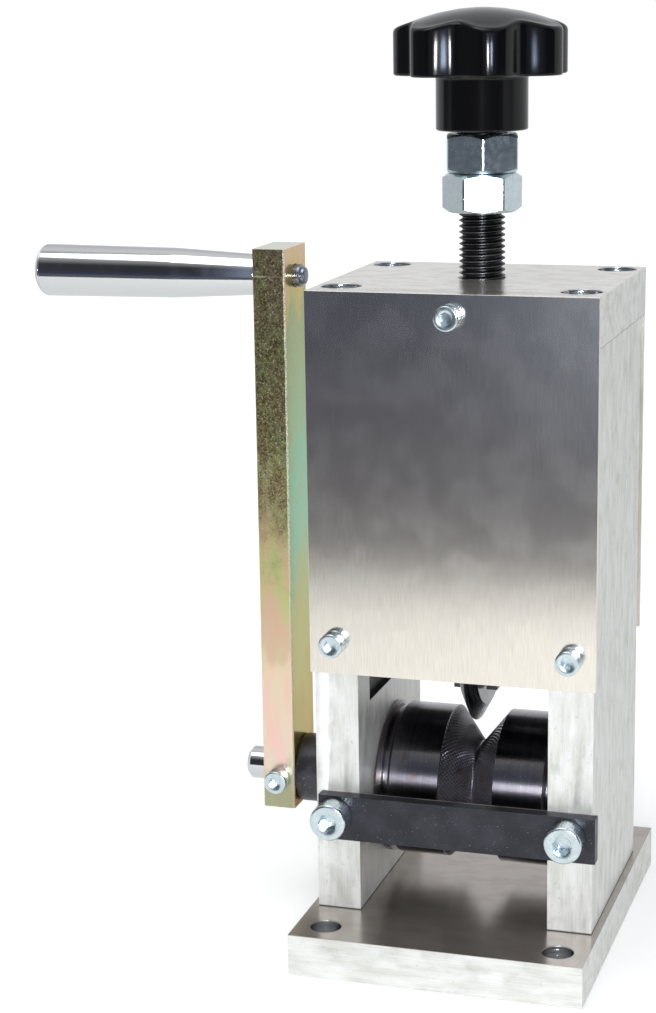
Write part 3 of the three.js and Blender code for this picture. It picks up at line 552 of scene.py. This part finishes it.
# %% [markdown]
# ## Chrome, bronze, tool steel and phenolic
#
# The handle and shaft are polished chrome, which is nothing but mirror: all that is seen is the room. The
# bushes are turned bronze. The blade is ground tool steel with marks round its axis, and the handle's stud is
# turned steel, a little bluer. The knob is moulded phenolic plastic, black and glossy, with a mould's waviness.


# %% Chrome and the plain metals
def polished_chrome():
    finish, tree, place = new_finish("polished_chrome")
    haze = marks(tree, place, (6, 6, 6), 3)
    shade(tree, Base_Color="#d9dadb", Metallic=1.0, Roughness=share(tree, haze, 0.35, 0.75, 0.05, 0.12))
    return finish


def turned_metal(name, pale, dark, roughness):
    """Metal turned or ground about the X axis: rings 0.5 mm wide, drawn coarser than the real feed marks."""
    finish, tree, place = new_finish(name)
    rings = marks(tree, place, (0.5, 12, 12), 3)
    paint = over(tree, dark, pale, rings, 0.3, 0.7)
    rough = share(tree, rings, 0.3, 0.7, roughness, roughness + 0.12)
    shade(tree, Base_Color=paint, Metallic=1.0, Roughness=rough, Normal=relief(tree, (rings, 0.01, 0.4)))
    return finish


def phenolic():
    finish, tree, place = new_finish("glossy_phenolic")
    wave = marks(tree, place, (7, 7, 7), 2)
    shade(tree, Base_Color="#0b0b0c", Roughness=0.12, IOR=1.5, Specular_IOR_Level=0.27,
          Normal=relief(tree, (wave, 0.03, 0.2)))
    return finish


chrome = polished_chrome()
bronze = turned_metal("turned_bronze", "#b58a55", "#8f6636", 0.3)
tool_steel = turned_metal("ground_tool_steel", "#a9abad", "#6f7174", 0.22)
stud_steel = turned_metal("turned_stud_steel", "#9aa0ac", "#7f858f", 0.2)
plastic = phenolic()
print("finishes:", len(bpy.data.materials))

# %% [markdown]
# ## Making a piece
#
# Each new piece is a grid of points worked out with numpy. Neighbouring rows and columns are joined by four
# cornered faces, and where a row shrinks to the axis its points are merged into one. Edges sharper than 32
# degrees stay sharp and all others are shaded smooth. The piece then rides on its body and stands for its node.

# %% Grids to pieces
BODY_OF = {node: body for body, nodes in frame["record"]["behaviour"]["bodies"].items() for node in nodes}


def skin(points, close_rows=False, close_columns=True):
    """Points (rows, columns, 3) as a list and faces between them; closing joins the last line to the first."""
    rows, columns = points.shape[:2]
    index = np.arange(rows * columns).reshape(rows, columns)
    if close_rows:
        index = np.vstack((index, index[:1]))
    if close_columns:
        index = np.hstack((index, index[:, :1]))
    faces = np.stack((index[:-1, :-1], index[:-1, 1:], index[1:, 1:], index[1:, :-1]), axis=-1)
    return points.reshape(-1, 3), faces.reshape(-1, 4)


def joined(*skins):
    """Several lists of points and faces as one, each list's faces counted on from the one before."""
    starts = np.cumsum([0] + [len(points) for points, _ in skins[:-1]])
    faces = [faces + start for (_, faces), start in zip(skins, starts)]
    return np.concatenate([points for points, _ in skins]), np.concatenate(faces)


def finish_piece(thing, node, finish):
    """Gives an object its finish and body, and lets it stand for the CAD node of that name."""
    thing.data.materials.append(finish)
    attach(thing, BODY_OF[node])
    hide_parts(node)
    return thing


def piece(node, made, finish, sharp=32):
    """A mesh from points in mm and faces, with doubled points merged, that stands for one CAD node."""
    points, faces = made
    mesh = bpy.data.meshes.new(node + "_piece")
    mesh.from_pydata((points * MM).tolist(), [], faces.tolist())
    work = bmesh.new()
    work.from_mesh(mesh)
    bmesh.ops.remove_doubles(work, verts=work.verts, dist=2e-6)
    work.to_mesh(mesh)
    work.free()
    mesh.shade_smooth()
    mesh.set_sharp_from_angle(angle=np.radians(sharp))
    thing = bpy.data.objects.new(node + "_piece", mesh)
    scene.collection.objects.link(thing)
    return finish_piece(thing, node, finish)


def bevelled(thing, width_mm, segments=2):
    """Rounds each edge sharper than 32 degrees by a width."""
    soft = thing.modifiers.new("broken_edges", "BEVEL")
    soft.width, soft.segments = width_mm * MM, segments
    soft.limit_method, soft.angle_limit = "ANGLE", np.radians(32)
    soft.harden_normals = True
    return thing


# %% [markdown]
# ## Plates with broken edges
#
# The plates, covers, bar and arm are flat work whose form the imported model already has. A real edge is never
# perfectly sharp: a file or a deburring wheel breaks it, and that thin line catches the light. So each such
# node is copied, its loose triangles are merged into whole flat faces, and a bevel rounds the edges.


# %% Plates, covers, bar, arm and carriage
def softened(node, finish, width_mm, segments=2):
    """A merged copy of a CAD node whose edges are rounded by a width."""
    mesh = frame["nodes"][node].data.copy()
    mesh.materials.clear()
    work = bmesh.new()
    work.from_mesh(mesh)
    bmesh.ops.remove_doubles(work, verts=work.verts, dist=1e-6)
    bmesh.ops.dissolve_limit(work, angle_limit=np.radians(0.5), verts=work.verts, edges=work.edges)
    work.to_mesh(mesh)
    work.free()
    mesh.shade_smooth()
    mesh.set_sharp_from_angle(angle=np.radians(32))
    thing = bpy.data.objects.new(node + "_piece", mesh)
    scene.collection.objects.link(thing)
    return bevelled(finish_piece(thing, node, finish), width_mm, segments)


softened("base_plate", level_saw, 0.5)
softened("side_plate_left", upright_saw, 0.2)
softened("side_plate_right", upright_saw, 0.2)
softened("top_plate", ground_top, 0.25)
softened("front_cover", stainless, 0.6, 3)
softened("rear_cover", stainless, 0.35)
softened("guide_bar", bar_oxide, 0.5)
softened("crank_arm", chromate, 0.25)
softened("carriage_block", oxide, 0.5)
softened("roller_key", tool_steel, 0.2)

# %% [markdown]
# ## Turned pieces
#
# A lathe piece is a profile of radius and height swept round an axis. The profile is a short list of corners,
# and each corner may carry a radius, which becomes a small arc that touches both of its sides. The result is
# made about the vertical and then laid in the way the real part faces.


# %% Lathe work
FACES = {
    "up": ((1, 0, 0), (0, 1, 0), (0, 0, 1)),
    "down": ((1, 0, 0), (0, -1, 0), (0, 0, -1)),
    "front": ((1, 0, 0), (0, 0, 1), (0, -1, 0)),
    "rear": ((1, 0, 0), (0, 0, -1), (0, 1, 0)),
    "right": ((0, 1, 0), (0, 0, 1), (1, 0, 0)),
}


def rounded(corners, steps=4):
    """Corners (radius, height, rounding) as a smooth line. At a corner the arc's centre lies on the halving
    line of its angle, at rounding / sin(half the angle), and the arc runs between the two feet of the centre."""
    line = []
    for i, (r, h, rounding) in enumerate(corners):
        point = np.array((r, h), float)
        if not rounding:
            line.append(point)
            continue
        before = np.array(corners[i - 1][:2]) - point
        after = np.array(corners[(i + 1) % len(corners)][:2]) - point
        before, after = before / np.linalg.norm(before), after / np.linalg.norm(after)
        half = np.arccos(np.clip(before @ after, -1, 1)) / 2
        centre = point + (before + after) / np.linalg.norm(before + after) * rounding / np.sin(half)
        start = point + before * rounding / np.tan(half) - centre
        end = point + after * rounding / np.tan(half) - centre
        part = np.linspace(0, 1, steps + 1)[:, None]
        arc = start * (1 - part) + end * part
        line.extend(centre + arc / np.linalg.norm(arc, axis=1)[:, None] * rounding)
    return np.array(line)


def sweep(radius, height, around):
    """Points at (radius cos t, radius sin t, height); radius and height are rows by columns, around is t."""
    t = np.broadcast_to(around, radius.shape)
    return np.stack((radius * np.cos(t), radius * np.sin(t), height), axis=-1)


def laid(made, place, facing="up"):
    """Points turned so that their Z axis faces the given way, then moved to a place in mm."""
    points, faces = made
    return points @ np.array(FACES[facing], float) + np.array(place, float), faces


def turned(corners, sides=96, ring=False, steps=4):
    """A profile of corners swept round Z. A ring is a closed profile, such as a bush; others end on the axis."""
    line = rounded(corners, steps)
    around = np.arange(sides) / sides * 2 * np.pi
    r = np.repeat(line[:, :1], sides, axis=1)
    h = np.repeat(line[:, 1:], sides, axis=1)
    return skin(sweep(r, h, around), close_rows=ring)


SHAFT = (0, MIDDLE_Y, 50.2)
GRIP = (0, MIDDLE_Y, 233.2)
AXLE = (0, MIDDLE_Y, 104.3)
bush = lambda x0, x1: turned(((6.08, x0, 0), (9, x0, 0.4), (9, x1, 0.4), (6.08, x1, 0)), ring=True)
piece("shaft_bush_left", laid(bush(-48.9, -33.6), SHAFT, "right"), bronze)
piece("shaft_bush_right", laid(bush(33.6, 45.4), SHAFT, "right"), bronze)
collar = ((6.08, -67.75, 0), (12.5, -67.75, 0.8), (12.5, -49.25, 0.8), (6.08, -49.25, 0))
piece("shaft_collar", laid(turned(collar, ring=True), SHAFT, "right"), oxide)

# %% [markdown]
# ## Screw threads
#
# A thread is a ridge that climbs one pitch in each turn. The grid's rows follow that climb instead of lying
# level, so four rows for each turn are enough: both edges of the crest and both edges of the root. At the ends
# the rows are held level and the radius tapers at 45 degrees, as a die leaves it.


# %% Threads
def thread(major, pitch, low, high, sides=32, top_taper=False):
    """Height = low + pitch * (turn + station + t / 2 pi), kept within low..high. Radius is major on the crest,
    which is an eighth of the pitch wide, and 0.61 pitch less on the root, which is a quarter wide."""
    t = np.linspace(0, 2 * np.pi, sides + 1)
    turns = np.arange(-1, np.ceil((high - low) / pitch) + 1)
    stations = np.array((0.0625, 0.375, 0.625, 0.9375))
    starts = (turns[:, None] + stations).ravel()
    minor = major - 0.61 * pitch
    flank = np.tile((major, minor, minor, major), len(turns))
    raw = low + pitch * (starts[:, None] + t / (2 * np.pi))
    h = np.clip(raw, low, high)
    tip = minor - 0.1 * pitch
    r = np.minimum(flank[:, None] + 0 * t, tip + h - low)
    if top_taper:
        r = np.minimum(r, tip + high - h)
    closed_r = np.vstack((0 * t, r, 0 * t))
    closed_h = np.vstack((low + 0 * t, h, high + 0 * t))
    return skin(sweep(closed_r, closed_h, t), close_columns=False)


# %% [markdown]
# ## Socket cap screws and the grub screw
#
# Two sizes hold the tool together. The head is turned and its side is knurled with fine upright ridges so that
# fingers can start it, and the hexagon socket has a small cone at its mouth that guides the key. The distance
# from the middle to a hexagon's flat, seen at an angle t from the nearest corner, is half the width over the
# flats divided by the cosine of 30 degrees less t, and that one formula shapes the socket.


# %% Cap screws
def hexagon(across, t):
    """Distance to a hexagon's side: half the width across flats / cos(t modulo 60 degrees - 30 degrees)."""
    return across / 2 / np.cos(np.mod(t, np.pi / 3) - np.pi / 6)


def socket_rows(across, mouth, floor, t):
    """Radius and height of a socket's rows: the cone at its mouth, its walls, and the drill's point below."""
    wall = hexagon(across, t)
    lip = across / np.sqrt(3) * 1.06
    radius = (lip + 0 * t, wall, wall, wall * 0.6, 0 * t)
    height = (mouth + 0 * t, mouth - (lip - wall) * 0.6, floor + 0 * t, floor - across * 0.01 + 0 * t,
              floor - across * 0.05 + 0 * t)
    return np.array(radius), np.array(height)


def cap_screw(d, pitch, head_d, head_h, socket, length, ridges=36, turn=0.0):
    """A head that stands on z = 0, its side waved inwards by 0.12 mm, and a threaded shank below."""
    t = np.arange(ridges * 4) / (ridges * 4) * 2 * np.pi
    side, soft = head_d / 2, head_h * 0.1
    wave = 0.06 * (1 - np.cos(ridges * t))
    arc = np.linspace(0, np.pi / 2, 5)[:, None]
    body_r = np.vstack((0 * t, side - 0.35 + 0 * t, side + 0 * t, side + 0 * t, side - wave, side - wave,
                        side + 0 * t, side - soft * (1 - np.cos(arc)) + 0 * t))
    body_h = np.vstack((0 * t, 0 * t, 0.35 + 0 * t, head_h * 0.12 + 0 * t, head_h * 0.18 + 0 * t,
                        head_h * 0.72 + 0 * t, head_h * 0.78 + 0 * t, head_h - soft * (1 - np.sin(arc)) + 0 * t))
    hole_r, hole_h = socket_rows(socket, head_h, head_h * 0.45, t)
    head = skin(sweep(np.vstack((body_r, hole_r)), np.vstack((body_h, hole_h)), t + turn))
    return joined(head, thread(d / 2, pitch, -length, 0.3, 24))


def m8(length, turn):
    return cap_screw(8, 1.25, 13, 8, 6, length, 40, turn)


def m5(length, turn):
    return cap_screw(5, 0.8, 8.5, 5, 4, length, 32, turn)


# The heads stand on these faces: bar, front cover, rear cover and arm in Y, and the counterbores' floors in Z.
BAR_Y, COVER_Y, REAR_Y, ARM_Y = -44.7, -41.7, 43.7, -8.1
TOP_FLOOR, BASE_FLOOR = 224.2, 9.9

for side, x in (("left", -41.25), ("right", 41.25)):
    piece("guide_bar_screw_" + side, laid(m8(22, 0.2 * x), (x, BAR_Y, 50.8), "front"), zinc)
    piece("front_cover_screw_" + side, laid(m5(12, 0.3 * x), (x, COVER_Y, 112.6), "front"), zinc)
    piece("rear_cover_screw_" + side + "_low", laid(m5(12, 0.1 * x), (x, REAR_Y, 113), "rear"), zinc)
    piece("rear_cover_screw_" + side + "_high", laid(m5(12, 0.5 * x), (x, REAR_Y, 187), "rear"), zinc)
    for end, y in (("front", -27.5), ("rear", 35.5)):
        piece("top_screw_" + end + "_" + side, laid(m8(30, 0.3 * x + y), (x, y, TOP_FLOOR)), zinc)
        piece("base_screw_" + end + "_" + side, laid(m8(30, 0.7 * x - y), (x, y, BASE_FLOOR), "down"), zinc)
piece("front_cover_screw_top", laid(m5(12, 0.5), (0, COVER_Y, 226.6), "front"), zinc)
piece("crank_clamp_screw", laid(m5(5.5, 0.2), (-74, ARM_Y, 48.7), "front"), zinc)


def grub_screw(d, pitch, socket, low, high):
    """A threaded rod with tapered ends and a hexagon socket in its upper end: the thread's rows, then the
    socket's in the same grid."""
    outer = thread(d / 2, pitch, low, high - 0.05, 24, top_taper=True)
    t = np.arange(48) / 48 * 2 * np.pi
    rim = d / 2 - 0.75 * pitch
    hole_r, hole_h = socket_rows(socket, high, high - 2.5, t)
    plug_r = np.vstack((rim + 0 * t, rim + 0 * t, hole_r))
    plug_h = np.vstack((high - 0.4 + 0 * t, high + 0 * t, hole_h))
    return joined(outer, skin(sweep(plug_r, plug_h, t)))


# %% [markdown]
# ## Hexagon nuts and the adjusting screw
#
# A nut is a hexagon bar whose corners are turned off at 30 degrees on both faces, so each flat ends in a shallow
# curve. Here the side's radius is the hexagon's own, held to 13.65 mm so that each upright corner gets a narrow
# round, and the chamfer's height at each angle is that radius less the face circle's, times a slope, and a
# quarter of a millimetre more: the curve then comes by itself. The angles stand close together at the corners.
# The bore has a lead-in cone at each end.
# The adjusting screw is one M16 rod with a 2 mm pitch, with a neck and a foot that hang in the carriage's slot.


# %% Nuts and screw
CORNER_R = 13.65


def nut(low, high, across=24, bore=8.1, turn=0.0):
    """A ring of rows: bore, lead-in, face circle, lower and upper end of the flats, face circle, lead-in."""
    steps = np.radians((-1.9, -1.5, -0.75, 0.75, 1.5, 1.9, 5, 10, 15, 20, 25, 30, 35, 40, 45, 50, 55))
    t = (np.arange(6)[:, None] * np.pi / 3 + steps).ravel()
    flat, even = np.minimum(hexagon(across, t), CORNER_R), 0 * t
    face = across / 2 - 0.35
    drop = 0.25 + (flat - face) * 0.6
    radius = (bore + even, bore + 1 + even, face + even, flat, flat, face + even, bore + 1 + even, bore + even)
    height = (low + 1 + even, low + even, low + even, low + drop, high - drop, high + even, high + even,
              high - 1 + even)
    return skin(sweep(np.array(radius), np.array(height), t + turn), close_rows=True)


def adjusting_screw():
    """The foot and the neck are turned; the thread starts above them and ends inside the knob."""
    foot = turned(((0, 142.25, 0), (7.5, 142.25, 0.5), (7.5, 147.125, 0.5), (5, 147.125, 0.3), (5, 153.5, 0),
                   (0, 153.5, 0)))
    return joined(foot, thread(8, 2, 152.75, 308.5, 64, top_taper=True))


SCREW = (0, MIDDLE_Y, 0)
piece("lock_nut", laid(nut(256.9, 270.0, turn=np.radians(16.5)), SCREW), zinc, sharp=28)
piece("jam_nut", laid(nut(270.3, 283.4, turn=np.radians(-14.7)), SCREW), zinc, sharp=28)
piece("adjusting_screw", laid(adjusting_screw(), SCREW), screw_oxide)
print("threads and nuts made")

# %% [markdown]
# ## The star knob
#
# The knob is moulded in one piece: a round hub below, and above it seven finger lobes under a shallow dome. The
# outline is a circle of 30.3 mm with seven hollows, radius = 30.3 - 5.2 ((1 - cos(7 (t - 0.57))) / 2) ^ 1.3. The
# power over 1 makes the lobes wider than the hollows. The dome's height falls with the square of the distance
# from the middle, so the tips lie lower than the hollows. Each row is that outline or a circle.


# %% Star knob
KNOB_R, HOLLOW, LOBES, LOBE_TURN = 30.3, 5.2, 7, 0.57
HUB_R, HUB_H, FILLET = 15.75, 18.4, 1.4
DOME_H, DOME_DROP = 40.9, 7.2


def star_knob(low):
    """Bore, hub, fillet, the lobes' underside and wall, and the dome, each a row of radii and of heights."""
    t = np.arange(280) / 280 * 2 * np.pi
    even = 0 * t
    lobed = KNOB_R - HOLLOW * ((1 - np.cos(LOBES * (t - LOBE_TURN))) / 2) ** 1.3
    dome = lambda r: low + DOME_H - DOME_DROP * (r / KNOB_R) ** 2
    arc = np.linspace(0, np.pi / 2, 6)[:, None]
    soft, under = 2.0, 0.9
    hub = ((0, 24.25, 0), (8.25, 24.25, 0), (8.25, 0.8, 0), (9.05, 0, 0), (HUB_R, 0, 0.7),
           (HUB_R, HUB_H - FILLET, 0))
    line = rounded(hub)
    fillet = np.linspace(0, np.pi / 2, 5)[1:, None]
    wall = low + HUB_H
    rows_r = [line[:, :1] + even, HUB_R + FILLET * (1 - np.cos(fillet)) + even, lobed - under * 2 + even[None],
              lobed - under * (1 - np.sin(arc)), lobed - soft * (1 - np.cos(arc))]
    rows_h = [low + line[:, 1:] + even, wall - FILLET * (1 - np.sin(fillet)) + even, wall + even[None],
              wall + under * (1 - np.cos(arc)) + even, dome(lobed - soft) - soft * (1 - np.sin(arc))]
    for part in (0.9, 0.75, 0.55, 0.3, 0.1, 0.0):
        inner = (lobed - soft) * part + 0 * t
        rows_r.append(inner[None])
        rows_h.append(dome(inner)[None])
    return skin(sweep(np.vstack(rows_r), np.vstack(rows_h), t))


knob = piece("star_knob", laid(star_knob(284.5), SCREW), plastic)
print("knob in mm:", [round(v / MM, 1) for v in knob.dimensions])

# %% [markdown]
# ## Feed rollers
#
# The two rollers are mirror images that meet in a V. The wire is gripped by the V's flanks, which carry a
# diamond knurl: two sets of grooves, one leaning each way. A groove's wave is 1 midway between two grooves and
# 0 in them, and the height of a diamond is the smaller of the two waves. It is laid on the flank along its
# normal, 0.34 mm deep at a spacing of 1.7 mm. Outside the flank come a cylinder, a turned neck and a flange.


# %% Rollers
ROLLER_R, GROOVE_R, NECK_R = 27.5, 15, 25.5
FACE, FLANK_END = 0.05, 10
KNURL_COUNT, KNURL_PITCH, KNURL_DEPTH = 92, 1.7, 0.34


def feed_roller(side):
    """Rows go round the section: face, knurled flank, cylinder, neck, flange, and back along the bore."""
    t = np.arange(KNURL_COUNT * 6) / (KNURL_COUNT * 6) * 2 * np.pi
    along = np.linspace(0, 1, 55)[:, None]
    rise, run = ROLLER_R - GROOVE_R, FLANK_END - FACE
    length = np.hypot(rise, run)
    wave = lambda phase: 1 - np.abs(2 * np.mod(phase, 1) - 1)
    lean = along * length / KNURL_PITCH
    turns = KNURL_COUNT * t / (2 * np.pi)
    fade = np.clip(np.minimum(along, 1 - along) * length / 0.5, 0, 1)
    height = KNURL_DEPTH * (np.minimum(wave(turns + lean), wave(turns - lean)) - 1) * fade
    flank_r = GROOVE_R + rise * along + height * run / length
    flank_h = FACE + run * along - height * rise / length
    inner = rounded(((6.08, FACE + 0.5, 0), (6.58, FACE, 0), (GROOVE_R, FACE, 0)))
    outer = ((ROLLER_R, FLANK_END, 0), (ROLLER_R, 27.6, 0.3), (ROLLER_R - 1, 28.6, 0), (NECK_R, 28.6, 0.2),
             (NECK_R, 30.5, 0.2), (ROLLER_R, 30.5, 0.4), (ROLLER_R, 32.6, 0.3), (ROLLER_R - 0.5, 33.1, 0),
             (6.58, 33.1, 0), (6.08, 32.6, 0))
    outer = rounded(outer)[1:]
    r = np.vstack((inner[:-1, :1] + 0 * t, flank_r, outer[:, :1] + 0 * t))
    h = np.vstack((inner[:-1, 1:] + 0 * t, flank_h, outer[:, 1:] + 0 * t))
    points, faces = skin(sweep(r, h, t), close_rows=True)
    if side < 0:
        points, faces = points * (1, 1, -1), faces[:, ::-1]
    return points, faces


piece("feed_roller_left", laid(feed_roller(-1), SHAFT, "right"), rollers_steel, sharp=28)
piece("feed_roller_right", laid(feed_roller(1), SHAFT, "right"), rollers_steel, sharp=28)
print("knurled rollers made")

# %% [markdown]
# ## Shaft, handle and stud
#
# The drive shaft is a chromed rod with chamfered ends and a keyway milled in its middle: there the radius is
# cut down to a flat floor, floor / cos(t), across the key's width. The handle is a long taper that swells from
# 14.5 mm at the arm to 19 mm, with a domed cap pressed into its end, and it turns on a shouldered stud.


# %% Shaft and handle
ROD_R, KEYWAY_W, KEYWAY_FLOOR = 6, 4.5, 3.25


def drive_shaft():
    """Radius is the rod's, but the keyway's floor / cos t where the rod is within half its width of its line."""
    edge = np.arcsin(KEYWAY_W / 2 / ROD_R)
    t = np.concatenate((np.linspace(-np.pi, np.pi, 97)[:-1], (-edge, -edge + 1e-4, edge - 1e-4, edge)))
    t = np.unique(t)
    even, rod = 0 * t, ROD_R + 0 * t
    cut = np.where(np.abs(t) < edge, KEYWAY_FLOOR / np.cos(t), rod)
    radius = (even, 4.5 + even, rod, rod, cut, cut, rod, rod, 4.9 + even, even)
    height = (-89, -89, -87.5, -20.25, -20.25, 20.25, 20.25, 44.3, 45.4, 45.4)
    height = np.array(height)[:, None] + even
    return skin(sweep(np.array(radius), height, t))


piece("drive_shaft", laid(drive_shaft(), SHAFT, "right"), chrome)
grip = ((4.25, -155.5, 0), (6.5, -155.5, 0), (6.5, -163.5, 0), (9.5, -163.5, 0.3), (9, -113.1, 60),
        (7.25, -81.6, 0.4), (6.75, -81.1, 0.2), (4.25, -81.1, 0))
piece("handle_grip", laid(turned(grip, 128, ring=True, steps=10), GRIP, "right"), chrome)
cap = ((0, -166.6, 0), (7.2, -166.4, 6), (9.5, -163.6, 0.3), (6.25, -163.6, 0), (6.25, -160.6, 0.3),
       (0, -160.6, 0))
piece("handle_cap", laid(turned(cap, 128, steps=8), GRIP, "right"), chrome)
stud = ((0, -158.5, 0), (5.5, -158.5, 0.3), (5.5, -155.7, 0.3), (4, -155.7, 0), (4, -80.7, 0), (5.5, -80.7, 0.2),
        (5.5, -80.1, 0.2), (4, -80.1, 0), (4, -65.5, 0.25), (3, -65.5, 0), (3, -64, 0.4), (0, -64, 0))
piece("handle_stud", laid(turned(stud, 64), GRIP, "right"), stud_steel)

# %% [markdown]
# ## Blade and its bearing
#
# The blade is a ground disc with a bevel on both sides. It turns on a bronze bush over a steel pin, between two
# thin washers, and a grub screw keeps the pin from turning in the carriage.


# %% Blade, bush, washers, pin and grub screw
disc = ((7.58, -3.2, 0), (23.1, -3.2, 0.3), (28.97, -0.04, 0), (28.97, 0.04, 0), (23.1, 3.2, 0.3),
        (7.58, 3.2, 0))
piece("cutting_blade", laid(turned(disc, 160, ring=True), AXLE, "right"), tool_steel)
sleeve = ((5.08, -3.2, 0), (7.5, -3.2, 0.2), (7.5, 3.2, 0.2), (5.08, 3.2, 0))
piece("blade_bush", laid(turned(sleeve, ring=True), AXLE, "right"), bronze)
for side, low in (("left", -3.88), ("right", 3.28)):
    washer = ((5.25, low, 0), (10, low, 0.15), (10, low + 0.6, 0.15), (5.25, low + 0.6, 0))
    piece("blade_washer_" + side, laid(turned(washer, ring=True), AXLE, "right"), bronze)
pin = ((0, -22, 0), (5, -22, 0.4), (5, 22, 0.4), (0, 22, 0))
piece("blade_axle", laid(turned(pin, 64), AXLE, "right"), tool_steel)
piece("axle_grub_screw", laid(grub_screw(5, 0.8, 2.5, 5.1, 15.1), (16, *AXLE[1:]), "front"), oxide)

# %% [markdown]
# ## Finish
#
# Colours are shown as they are, without a film's curve.

# %% Finish
scene.view_settings.view_transform = "Standard"
